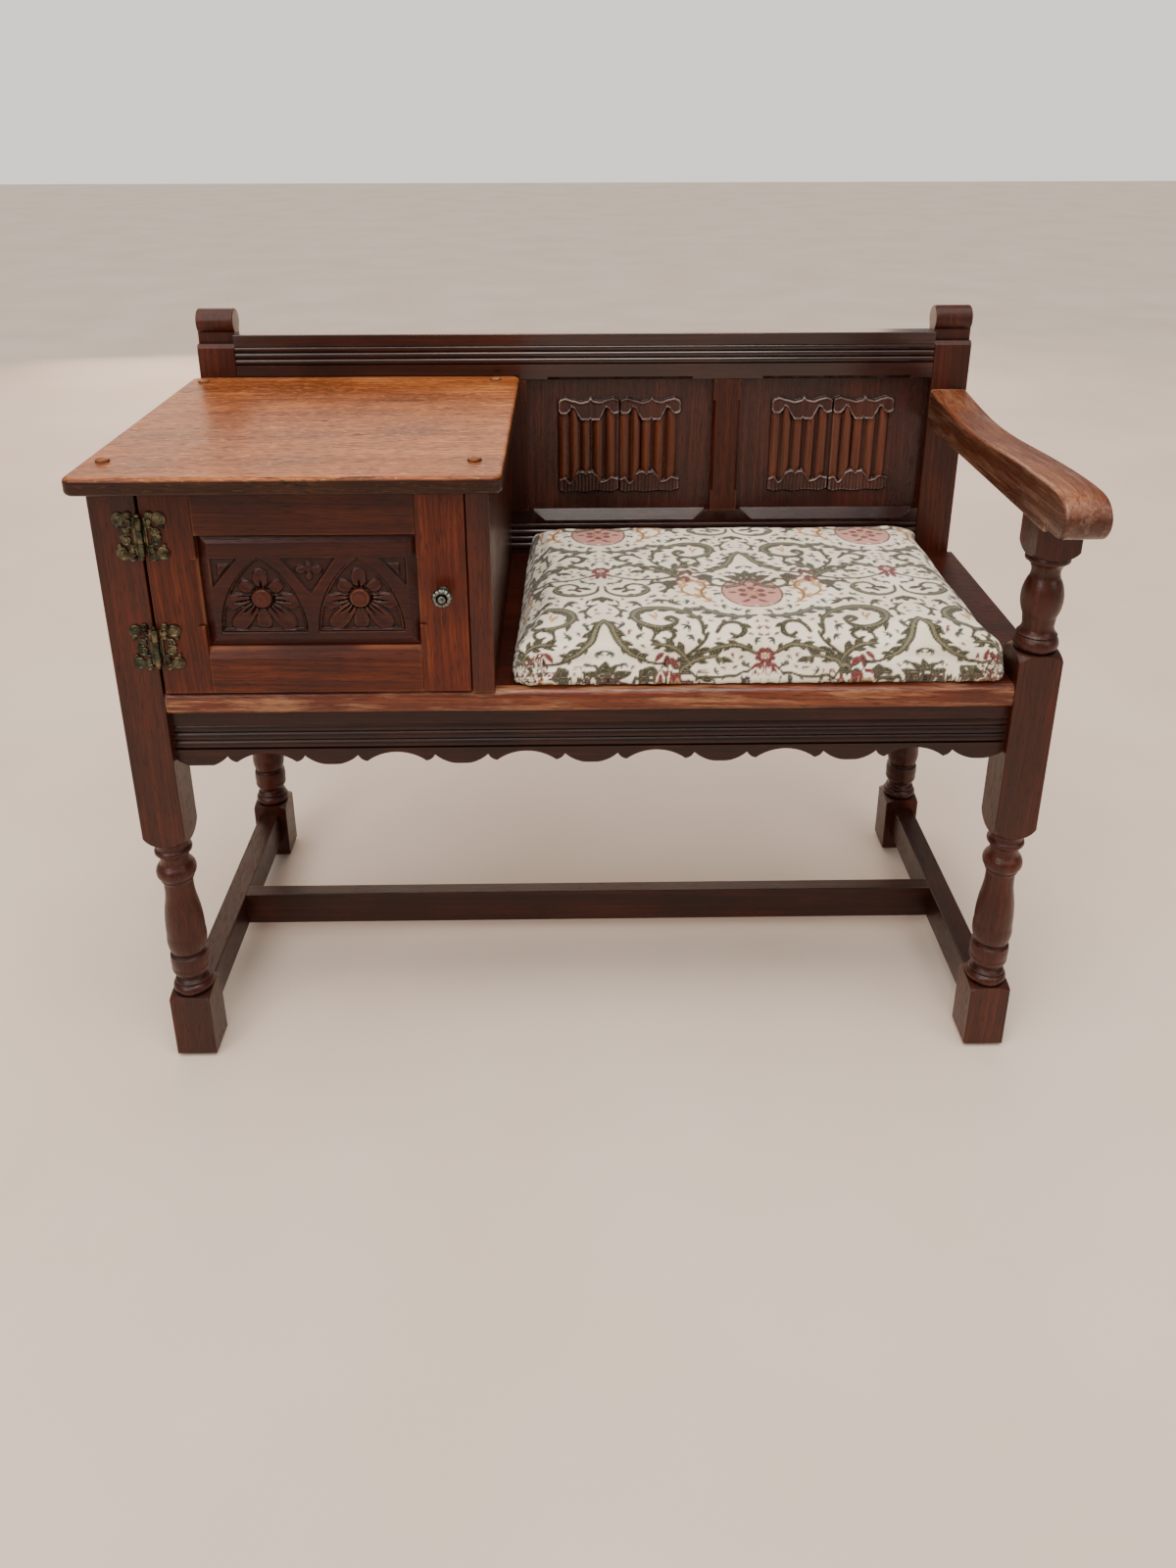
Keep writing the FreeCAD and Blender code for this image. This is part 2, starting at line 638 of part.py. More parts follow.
# ---- Arm ----------------------------------------------------------------------------
def right_arm():
    """The arm: a shallow dip, then a scroll that rolls over in front of its leg."""
    back = DEPTH - LEG
    crest = [(back, ARM_TOP - 1), (335.0, 667.0), (292.0, 662.5), (215.0, 660.5), (112.0, 667.0),
             (20.0, ARM_TOP), (-18.0, ARM_TOP), (-42.0, 666.5), (-ARM_REACH, 651.0),
             (-48.5, 636.0), (-34.0, SCROLL_UNDERSIDE)]
    curve = Part.BSplineCurve()
    curve.interpolate([Vector(RIGHT_X[0], y, z) for y, z in crest])
    under = [crest[-1], (-15.0, SCROLL_UNDERSIDE), (-12.5, 641.0), (-10.0, ARM_UNDERSIDE),
             (back, ARM_UNDERSIDE), crest[0]]
    corners = [Vector(RIGHT_X[0], y, z) for y, z in under]
    profile = Part.Wire([curve.toShape()] + Part.makePolygon(corners).Edges)
    arm = Part.Face(profile).extrude(Vector(LEG, 0, 0))
    sides = [edge for edge in arm.Edges
             if edge.BoundBox.XLength < 0.01 and edge.BoundBox.ZMax > ARM_TOP - 0.5]
    return arm.makeFillet(ARM_EDGE, sides)


def arm_screw():
    """The long screw from the back post into the arm."""
    head = Vector(middle(RIGHT_X), DEPTH - PLUG_DEPTH, ARM_UNDERSIDE + ARM_SCREW_RISE)
    return screw(head, head - Vector(0, 80, 0), 5.0, 2.5)


def arm_screw_plug():
    """The wooden plug over the arm's screw."""
    centre = Vector(middle(RIGHT_X), DEPTH - PLUG_DEPTH, ARM_UNDERSIDE + ARM_SCREW_RISE)
    return rod(PLUG_RADIUS, centre, centre + Vector(0, PLUG_DEPTH, 0))


# ---- Cabinet ------------------------------------------------------------------------
def cabinet_left_side():
    """The cupboard's left side, tongued into the left leg and post."""
    return block(LEFT_SIDE_X, grown(BETWEEN_Y, GROOVE), (SEAT_TOP, CABINET_TOP))


def cabinet_right_side():
    """The cupboard's right side, tongued into the front stile."""
    y = (STILE_DEPTH - GROOVE, BACK_Y[0])
    return block(RIGHT_SIDE_X, y, (SEAT_TOP, CABINET_TOP))


def cabinet_right_stile():
    """The front stile that the door closes beside."""
    stile = block(STILE_X, (0, STILE_DEPTH), (SEAT_TOP, CABINET_TOP))
    return stile.makeFillet(ARRIS, edges_along(stile, "z", lambda centre: centre.y < 1))


def top_cleat(x):
    """A batten inside the cupboard that holds the table top."""
    return block(x, CLEAT_Y, (CABINET_TOP - CLEAT, CABINET_TOP))


def cleat_screws(cleats_x):
    """The screws up through the battens into the table top."""
    screws = []
    for x in cleats_x:
        for y in CLEAT_SCREWS_Y:
            head = Vector(middle(x), y, CABINET_TOP - CLEAT)
            screws.append(screw(head, head + Vector(0, 0, CLEAT + 10), 4.0, 1.8))
    return group(screws)


def table_top():
    """The table top, with rounded corners and a soft edge all round."""
    top = block(TOP_X, TOP_Y, (CABINET_TOP, TABLE_TOP))
    top = top.makeFillet(TOP_CORNER, edges_along(top, "z"))
    rim = [edge for edge in top.Edges if edge.BoundBox.ZLength < 0.01]
    return top.makeFillet(TOP_EDGE, rim)


def top_screws():
    """The four screws down through the table top, under their pellets."""
    screws = []
    for x, y in PELLETS:
        head = Vector(x, y, TABLE_TOP - PELLET_DEPTH)
        screws.append(screw(head, head - Vector(0, 0, 45), 4.6, 2.2))
    return group(screws)


def top_pellet(x, y):
    """A wooden pellet with a domed head."""
    stations = [(PELLET_RADIUS, TABLE_TOP - PELLET_DEPTH, 0), (PELLET_RADIUS, TABLE_TOP, 0),
                (PELLET_RADIUS + 0.8, TABLE_TOP + 0.4, 0), (3.6, TABLE_TOP + 3.4, 0.9),
                (0.01, TABLE_TOP + 4.2, 0.2)]
    return turned(stations, x, y)


# ---- Door ---------------------------------------------------------------------------
def door_stile(x, inner_x, side):
    """A door stile with a stopped bevel along the middle of its inner edge."""
    stile = block(x, (0, DOOR_THICK), DOOR_Z)
    stile = stile.makeFillet(ARRIS, edges_along(stile, "z", lambda centre: centre.y < 1))
    across, deep = DOOR_BEVEL
    outer_x = inner_x - side * across
    bevel = [(inner_x + side, -1, 0), (outer_x, -1, 0), (outer_x, 0, 0),
             (inner_x, deep, 0), (inner_x + side, deep, 0)]
    return stile.cut(prism_z(bevel, DOOR_BEVEL_Z))


def door_rail(z, splayed=False):
    """A door rail tenoned into both stiles; the lower one is splayed on top."""
    rail = block(OPENING_X, (0, DOOR_THICK), z)
    rail = joined([rail, block(grown(OPENING_X, DOOR_TENON), DOOR_GROOVE_Y, grown(z, -9))])
    if not splayed:
        return rail
    high, deep = DOOR_SPLAY
    splay = [(-1, z[1] - high, 0), (0, z[1] - high, 0), (deep, z[1], 0), (deep, z[1] + 1, 0),
             (-1, z[1] + 1, 0)]
    return rail.cut(prism_x(splay, OPENING_X))


def pointed_arch(centre):
    """Return the outline stations of a pointed arch, in x and z."""
    half = ARCH_WIDTH / 2
    return [(centre - half, ARCH_Z[0], 9.0), (centre + half, ARCH_Z[0], 0), (centre, ARCH_Z[1], 9.0)]


def door_panel():
    """The raised and bevelled door panel, sunk as two pointed arches with a boss each."""
    held = block(grown(OPENING_X, GROOVE), DOOR_GROOVE_Y, grown(OPENING_Z, GROOVE))
    outer = grown(OPENING_X, -1), grown(OPENING_Z, -1)
    inner = grown(OPENING_X, -PANEL_BEVEL), grown(OPENING_Z, -PANEL_BEVEL)
    wires = []
    for (x, z), y in ((outer, DOOR_GROOVE_Y[0]), (inner, PANEL_FACE_Y)):
        points = [Vector(x[0], y, z[0]), Vector(x[1], y, z[0]),
                  Vector(x[1], y, z[1]), Vector(x[0], y, z[1])]
        wires.append(Part.makePolygon(points + points[:1]))
    panel = joined([held, Part.makeLoft(wires, True, True)])
    for centre in ARCH_MIDDLES:
        panel = panel.cut(prism_y(pointed_arch(centre), (2.0, 5.0)))
        boss = Part.makeSphere(BOSS_RADIUS, Vector(centre, PANEL_FACE_Y + 7, BOSS_Z))
        shown = block(grown((centre, centre), 10), (0, 6), grown((BOSS_Z, BOSS_Z), 10))
        panel = panel.fuse(boss.common(shown))
    return panel.removeSplitter()


def towards_front(shape, y):
    """Turn a shape made about the z axis to point forwards from a height y."""
    shape.rotate(Vector(), Vector(1, 0, 0), 90)
    shape.translate(Vector(KNOB_X, y, KNOB_Z))
    return shape


def door_knob():
    """The small round metal knob with a ringed face."""
    stations = [(9.0, 0, 0), (9.0, 1.2, 0), (7.0, 2.6, -0.3), (4.2, 7.0, -1.0), (5.0, 10.0, -0.6),
                (9.6, 14.0, 1.0), (10.0, 16.5, 0.3), (8.6, 19.0, 0.4), (7.2, 18.4, 0),
                (5.4, 20.4, 0.5), (0.01, 21.2, 0.4)]
    return towards_front(turned(stations, 0, 0), 0)


def knob_screw():
    """The screw from inside the door into the knob."""
    stations = [(4.0, -2.4, 0), (4.5, -1.2, 0), (4.5, 0, 0), (2.0, 0.01, 0), (2.0, 30.0, 0)]
    return towards_front(turned(stations, 0, 0), DOOR_THICK)


# ---- Hinges -------------------------------------------------------------------------
def leaf_plate(side, z):
    """Return the scrolled plate of one hinge leaf; side is +1 towards the door."""
    y = (-LEAF_THICK, 0.0)
    start = HINGE_AXIS[0]
    plate = [block(sorted((start + side * 0.6, start + side * 15)), y, (z - 17, z + 17))]
    for reach, height, radius in ((13.5, 17.5, 7.5), (13.5, -17.5, 7.5), (17.0, 0.0, 6.0)):
        centre = Vector(start + side * reach, y[0], z + height)
        plate.append(rod(radius, centre, centre + Vector(0, LEAF_THICK, 0)))
    shape = joined(plate)
    for height in (-8.6, 8.6):
        centre = Vector(start + side * 19.0, y[0] - 1, z + height)
        shape = shape.cut(rod(4.6, centre, centre + Vector(0, LEAF_THICK + 2, 0)))
    return shape


def hinge_leaf(side, z, own, other):
    """Return a leaf with its knuckles; own and other list knuckle spans about z."""
    x, y = HINGE_AXIS
    leaf = leaf_plate(side, z)
    for low, high in other:
        near = sorted((x - side, x + side * (KNUCKLE + 0.5)))
        leaf = leaf.cut(block(near, (-KNUCKLE, 1), (z + low - 0.3, z + high + 0.3)))
    for low, high in own:
        start = Vector(x, y, z + low)
        barrel = rod(KNUCKLE, start, Vector(x, y, z + high))
        web = block(sorted((x + side * 0.6, x + side * KNUCKLE)), (y, -LEAF_THICK / 2), (z + low, z + high))
        leaf = joined([leaf, barrel, web])
    hole = rod(PIN_HOLE, Vector(x, y, z - BARREL), Vector(x, y, z + BARREL))
    return leaf.cut(hole)


def hinge_leaf_pair(z):
    """Return the leg leaf and the door leaf of one hinge."""
    third = BARREL / 3
    gap = 0.15
    outer = [(-1.5 * third, -0.5 * third - gap), (0.5 * third + gap, 1.5 * third)]
    inner = [(-0.5 * third + gap, 0.5 * third - gap)]
    return hinge_leaf(-1, z, outer, inner), hinge_leaf(1, z, inner, outer)


def hinge_pins():
    """The two hinge pins with their ball ends."""
    x, y = HINGE_AXIS
    pins = []
    for z in HINGE_HEIGHTS.values():
        half = BARREL / 2
        pin = rod(PIN_RADIUS, Vector(x, y, z - half - 1), Vector(x, y, z + half + 1))
        for end in (-half - PIN_BALL, half + PIN_BALL):
            pin = pin.fuse(Part.makeSphere(PIN_BALL, Vector(x, y, z + end)))
        pins.append(pin)
    return group(pins)


def hinge_screws(side):
    """The round-headed screws of both hinges on one side of the hinge line."""
    screws = []
    for z in HINGE_HEIGHTS.values():
        for reach, height in LEAF_SCREWS:
            seat = Vector(HINGE_AXIS[0] + side * reach, -LEAF_THICK, z + height)
            head = rod(LEAF_SCREW_HEAD, seat, seat - Vector(0, 0.9, 0))
            screws.append(head.fuse(rod(LEAF_SCREW_SHANK, seat, seat + Vector(0, 13, 0))))
    return group(screws)


# ---- Door catch ---------------------------------------------------------------------
def catch_body():
    """The magnetic catch on the cupboard's right side, just behind the door."""
    return block((CATCH_X, RIGHT_SIDE_X[0]), (DOOR_THICK + 1.5, DOOR_THICK + 32), CATCH_Z)


def catch_plate():
    """The steel plate on the back of the door that the catch holds."""
    return block(CATCH_PLATE_X, (DOOR_THICK, DOOR_THICK + CATCH_PLATE_THICK), CATCH_Z)


def catch_screws():
    """The two screws of the catch."""
    screws = []
    for y in (30.0, 44.0):
        head = Vector(CATCH_X, y, middle(CATCH_Z))
        screws.append(screw(head, head + Vector(26, 0, 0), 3.2, 1.5))
    return group(screws)


def catch_plate_screw():
    """The screw of the plate on the door."""
    head = Vector(middle(CATCH_PLATE_X), DOOR_THICK + CATCH_PLATE_THICK, middle(CATCH_Z))
    return screw(head, head - Vector(0, 13, 0), 2.6, 1.3)


# ---- Assembly -----------------------------------------------------------------------
def write(name, shape):
    """Write one sub-part in the object's own frame."""
    shape.translate(Vector(-ORIGIN_X, -ORIGIN_Y, 0))
    shape.exportStep(f"parts/{name}.step")


def build():
    """Make every sub-part, cut the mating pockets, and return them by name."""
    rails = {
        "front_apron": front_apron(),
        "left_seat_rail": side_rail((SIDE_RAIL_SETBACK, SIDE_RAIL_SETBACK + SIDE_RAIL_THICK)),
        "right_seat_rail": side_rail((WIDTH - SIDE_RAIL_SETBACK - SIDE_RAIL_THICK,
                                      WIDTH - SIDE_RAIL_SETBACK)),
        "back_seat_rail": back_seat_rail(),
        "left_stretcher": side_stretcher(SIDE_STRETCHER_X),
        "right_stretcher": side_stretcher((WIDTH - SIDE_STRETCHER_X[1], WIDTH - SIDE_STRETCHER_X[0])),
        "centre_stretcher": centre_stretcher(),
        "top_back_rail": top_back_rail(),
        "lower_back_rail": lower_back_rail(),
    }
    uprights = {
        "back_muntin": upright(MUNTIN_X, grown(MUNTIN_X, -9), MUNTIN_X),
        "back_left_stile": upright(BACK_STILE_X, (376.0, 384.0), BACK_STILE_X[1:]),
    }
    panels = {
        "left_linenfold_panel": linenfold_panel((BACK_STILE_X[1], MUNTIN_X[0])),
        "right_linenfold_panel": linenfold_panel((MUNTIN_X[1], RIGHT_X[0])),
        "cabinet_back_panel": plain_panel((LEG, CABINET_RIGHT - 2)),
        "cabinet_left_side": cabinet_left_side(),
        "cabinet_right_side": cabinet_right_side(),
    }
    legs = {
        "front_left_leg": front_left_leg(),
        "front_right_leg": front_right_leg(),
        "back_left_post": back_post(LEFT_X),
        "back_right_post": back_post(RIGHT_X),
    }
    boards = {
        "seat_board": seat_board(),
        "seat_nosing": seat_nosing(),
        "cabinet_right_stile": cabinet_right_stile(),
        "table_top": table_top(),
        "left_top_cleat": top_cleat((LEFT_SIDE_X[1], LEFT_SIDE_X[1] + CLEAT)),
        "right_top_cleat": top_cleat((RIGHT_SIDE_X[0] - CLEAT, RIGHT_SIDE_X[0])),
        "right_arm": right_arm(),
        "seat_pad_board": seat_pad_board(),
        "seat_pad": seat_pad(),
        "corner_blocks": group([corner_block(a, b) for a in (1, -1) for b in (1, -1)]),
    }
    door = {
        "door_left_stile": door_stile((DOOR_X[0], OPENING_X[0]), OPENING_X[0], 1),
        "door_right_stile": door_stile((OPENING_X[1], DOOR_X[1]), OPENING_X[1], -1),
        "door_top_rail": door_rail((OPENING_Z[1], DOOR_Z[1])),
        "door_bottom_rail": door_rail((DOOR_Z[0], OPENING_Z[0]), splayed=True),
        "door_carved_panel": door_panel(),
        "door_knob": door_knob(),
    }
    fasteners = {
        "corner_block_screws": corner_screws(),
        "seat_pad_screws": pad_screws(),
        "top_screws": top_screws(),
        "top_pellets": group([top_pellet(x, y) for x, y in PELLETS]),
        "top_cleat_screws": cleat_screws(((LEFT_SIDE_X[1], LEFT_SIDE_X[1] + CLEAT),
                                          (RIGHT_SIDE_X[0] - CLEAT, RIGHT_SIDE_X[0]))),
        "arm_screw": arm_screw(),
        "arm_screw_plug": arm_screw_plug(),
        "catch_body": catch_body(),
        "catch_screws": catch_screws(),
        "catch_plate": catch_plate(),
        "catch_plate_screw": catch_plate_screw(),
        "knob_screw": knob_screw(),
        "hinge_pins": hinge_pins(),
        "hinge_leg_screws": hinge_screws(-1),
        "hinge_door_screws": hinge_screws(1),
    }
    for name, height in HINGE_HEIGHTS.items():
        leg_leaf, door_leaf = hinge_leaf_pair(height)
        fasteners[f"{name}_hinge_leg_leaf"] = leg_leaf
        fasteners[f"{name}_hinge_door_leaf"] = door_leaf

    parts = {}
    for name, shape in legs.items():
        tools = list(rails.values()) + list(panels.values())
        parts[name] = cut_by(shape, tools)
    for name in ("left_stretcher", "right_stretcher"):
        rails[name] = rails[name].cut(rails["centre_stretcher"])
    for name in ("top_back_rail", "lower_back_rail"):
        rails[name] = cut_by(rails[name], list(uprights.values()) + list(panels.values()))
    for name, shape in uprights.items():
        uprights[name] = cut_by(shape, list(panels.values()))
    for name in ("door_left_stile", "door_right_stile"):
        door[name] = cut_by(door[name], [door["door_top_rail"], door["door_bottom_rail"],
                                         door["door_carved_panel"]])
    for name in ("door_top_rail", "door_bottom_rail"):
        door[name] = door[name].cut(door["door_carved_panel"])
    boards["cabinet_right_stile"] = boards["cabinet_right_stile"].cut(panels["cabinet_right_side"])
    boards["seat_pad"] = boards["seat_pad"].cut(boards["seat_pad_board"])
    boards["right_arm"] = boards["right_arm"].cut(parts["front_right_leg"])
    for found in (rails, uprights, panels, boards, door):
        parts.update(found)
    holed = {
        "corner_block_screws": ("corner_blocks", "seat_board"),
        "seat_pad_screws": ("seat_board", "seat_pad_board"),
        "top_screws": ("table_top", "front_left_leg", "cabinet_right_stile", "cabinet_left_side",
                       "cabinet_right_side"),
        "top_pellets": ("table_top",),
        "top_cleat_screws": ("left_top_cleat", "right_top_cleat", "table_top"),
        "arm_screw": ("back_right_post", "right_arm"),
        "arm_screw_plug": ("back_right_post",),
        "catch_screws": ("catch_body", "cabinet_right_side"),
        "catch_plate_screw": ("catch_plate", "door_right_stile"),
        "knob_screw": ("door_knob", "door_right_stile"),
        "hinge_leg_screws": ("upper_hinge_leg_leaf", "lower_hinge_leg_leaf", "front_left_leg"),
        "hinge_door_screws": ("upper_hinge_door_leaf", "lower_hinge_door_leaf", "door_left_stile"),
    }
    parts.update(fasteners)
    for fastener, hosts in holed.items():
        for host in hosts:
            parts[host] = parts[host].cut(parts[fastener])
    return parts


def main():
    """Write every sub-part of the bench to its own file."""
    os.makedirs("parts", exist_ok=True)
    for name, shape in build().items():
        write(name, shape)
        print(f"{name:24s} solids {len(shape.Solids)} valid {shape.isValid()} "
              f"volume {shape.Volume / 1000:.1f} cm3")


main()
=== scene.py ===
import json
import logging
import math
import random
from dataclasses import dataclass
from enum import Enum

import bmesh
import bpy
import numpy as np
from mathutils import Matrix, Vector

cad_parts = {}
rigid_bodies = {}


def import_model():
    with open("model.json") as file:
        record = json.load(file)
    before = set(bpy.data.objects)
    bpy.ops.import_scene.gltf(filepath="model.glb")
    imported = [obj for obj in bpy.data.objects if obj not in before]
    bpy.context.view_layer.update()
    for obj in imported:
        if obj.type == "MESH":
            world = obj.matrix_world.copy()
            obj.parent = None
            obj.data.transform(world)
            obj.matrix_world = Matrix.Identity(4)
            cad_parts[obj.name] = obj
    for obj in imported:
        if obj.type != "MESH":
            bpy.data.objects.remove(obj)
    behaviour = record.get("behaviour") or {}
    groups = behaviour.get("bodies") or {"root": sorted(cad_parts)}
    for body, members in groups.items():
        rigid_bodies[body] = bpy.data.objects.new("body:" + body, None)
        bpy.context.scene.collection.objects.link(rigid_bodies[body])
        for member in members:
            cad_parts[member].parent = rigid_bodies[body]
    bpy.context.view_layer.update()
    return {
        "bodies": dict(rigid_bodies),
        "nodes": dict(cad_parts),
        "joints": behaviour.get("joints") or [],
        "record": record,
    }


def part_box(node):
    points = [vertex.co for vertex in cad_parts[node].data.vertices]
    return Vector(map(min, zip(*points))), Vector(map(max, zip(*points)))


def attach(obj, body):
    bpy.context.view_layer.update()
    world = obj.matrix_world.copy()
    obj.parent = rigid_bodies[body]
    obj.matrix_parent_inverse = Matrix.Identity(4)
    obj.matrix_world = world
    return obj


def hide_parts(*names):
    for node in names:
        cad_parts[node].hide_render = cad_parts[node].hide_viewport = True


LOG = logging.getLogger("entryway_bench")
MM = 0.001
MERGE = 0.01 * MM           # points nearer than this become one

# Socket numbers of the colour mode of Blender's Mix node.
MIX_FACTOR, MIX_A, MIX_B, MIX_RESULT = 0, 6, 7, 2
# A wave texture of this scale has waves one metre apart.
ONE_WAVE = 0.314


def linear(code: str) -> tuple[float, float, float, float]:
    """Turn an sRGB hex colour into linear light.

    Args:
        code: the colour as "#rrggbb".

    Returns:
        Red, green, blue and an alpha of 1.
    """
    parts = [int(code[i:i + 2], 16) / 255 for i in (1, 3, 5)]
    light = [p / 12.92 if p <= 0.04045 else ((p + 0.055) / 1.055) ** 2.4 for p in parts]
    return (light[0], light[1], light[2], 1.0)


def set_inputs(tree: bpy.types.NodeTree, node: bpy.types.Node, inputs: dict) -> None:
    """Set or link a node's inputs.

    Args:
        tree: the node tree that holds it.
        node: the node.
        inputs: values, "#rrggbb" colours or output sockets, by input name or number.
    """
    for key, value in inputs.items():
        if isinstance(value, bpy.types.NodeSocket):
            tree.links.new(value, node.inputs[key])
        else:
            node.inputs[key].default_value = linear(value) if isinstance(value, str) else value


def add_node(tree: bpy.types.NodeTree, kind: str, inputs: dict, output: int | str = 0,
             stops: tuple = (), **settings: object) -> bpy.types.NodeSocket:
    """Add a node with its settings, values and links.

    Args:
        tree: the node tree to add it to.
        kind: the node's type name without its "ShaderNode".
        inputs: what set_inputs takes.
        output: name or number of the wanted output.
        stops: places on a colour ramp, each with a "#rrggbb" colour or the level of a grey.
        settings: properties of the node itself.

    Returns:
        The wanted output's socket.
    """
    node = tree.nodes.new(f"ShaderNode{kind}")
    for name, value in settings.items():
        setattr(node, name, value)
    if stops:
        elements = node.color_ramp.elements
        while len(elements) < len(stops):
            elements.new(0.5)
        for element, (place, shade) in zip(elements, stops):
            element.position = place
            element.color = linear(shade) if isinstance(shade, str) else (shade, shade, shade, 1.0)
    set_inputs(tree, node, inputs)
    return node.outputs[output]


def smooth(value: np.ndarray) -> np.ndarray:
    """Ease an array from 0 to 1 with level ends."""
    held = np.clip(value, 0.0, 1.0)
    return held * held * (3.0 - 2.0 * held)


def new_material(name: str) -> tuple[bpy.types.Material, bpy.types.NodeTree, bpy.types.Node]:
    """Start a node material.

    Args:
        name: the material's name.

    Returns:
        The material, its node tree and its Principled shader.
    """
    material = bpy.data.materials.new(name)
    material.use_nodes = True
    tree = material.node_tree
    return material, tree, tree.nodes["Principled BSDF"]


def finish_mesh(name: str, bm: bmesh.types.BMesh, sharp: float = 40.0) -> bpy.types.Object:
    """Make an object of a bmesh, smooth except at its sharp edges.

    Args:
        name: the piece's name.
        bm: the shape in metres, in the bench's own frame; it is freed.
        sharp: edges that turn more than this many degrees stay crisp.

    Returns:
        The new object, linked to the scene.
    """
    limit = math.radians(sharp)
    for face in bm.faces:
        face.smooth = True
    for edge in bm.edges:
        edge.smooth = edge.calc_face_angle(0.0) < limit
    mesh = bpy.data.meshes.new(name)
    bm.to_mesh(mesh)
    bm.free()
    piece = bpy.data.objects.new(name, mesh)
    bpy.context.scene.collection.objects.link(piece)
    return piece


def upright_grid(bm: bmesh.types.BMesh, centre: Vector, width: float, height: float,
                 step: float) -> None:
    """Add a fine grid that stands upright and faces the front.

    Args:
        bm: the mesh to add it to.
        centre: its middle, in metres.
        width: its width.
        height: its height.
        step: the size of its cells.
    """
    bmesh.ops.create_grid(
        bm, x_segments=round(width / step), y_segments=round(height / step), size=1.0,
        matrix=(Matrix.Translation(centre) @ Matrix.Rotation(math.pi / 2, 4, "X")
                @ Matrix.Diagonal((width / 2, height / 2, 1.0, 1.0))))


def kept(geometry: list, kind: type) -> list:
    """Pick the points, edges or faces from what an operator returns."""
    return [g for g in geometry if isinstance(g, kind)]


def centre_of(node: str) -> Vector:
    """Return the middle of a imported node's box."""
    low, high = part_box(node)
    return (low + high) / 2


def dress(piece: bpy.types.Object, material: bpy.types.Material) -> None:
    """Give the whole piece one material.

    Args:
        piece: a new piece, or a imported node's object.
        material: its material.
    """
    piece.data.materials.clear()
    piece.data.materials.append(material)
    for face in piece.data.polygons:
        face.material_index = 0


def fit_piece(piece: bpy.types.Object, material: bpy.types.Material, body: str, node: str) -> None:
    """Dress a new piece and put it on its body, in the place of its plain node.

    Args:
        piece: the finished piece.
        material: its material.
        body: the body that it rides on.
        node: the node that it stands for.
    """
    dress(piece, material)
    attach(piece, body)
    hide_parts(node)
    LOG.info("%s: %d faces", piece.name, len(piece.data.polygons))


class Grain(Enum):
    """The direction in which a member's grain runs, as the turn that lays it along X."""

    ALONG_X = (0.0, 0.0, 0.0)
    ALONG_Y = (0.0, 0.0, -math.pi / 2)
    ALONG_Z = (0.0, math.pi / 2, 0.0)


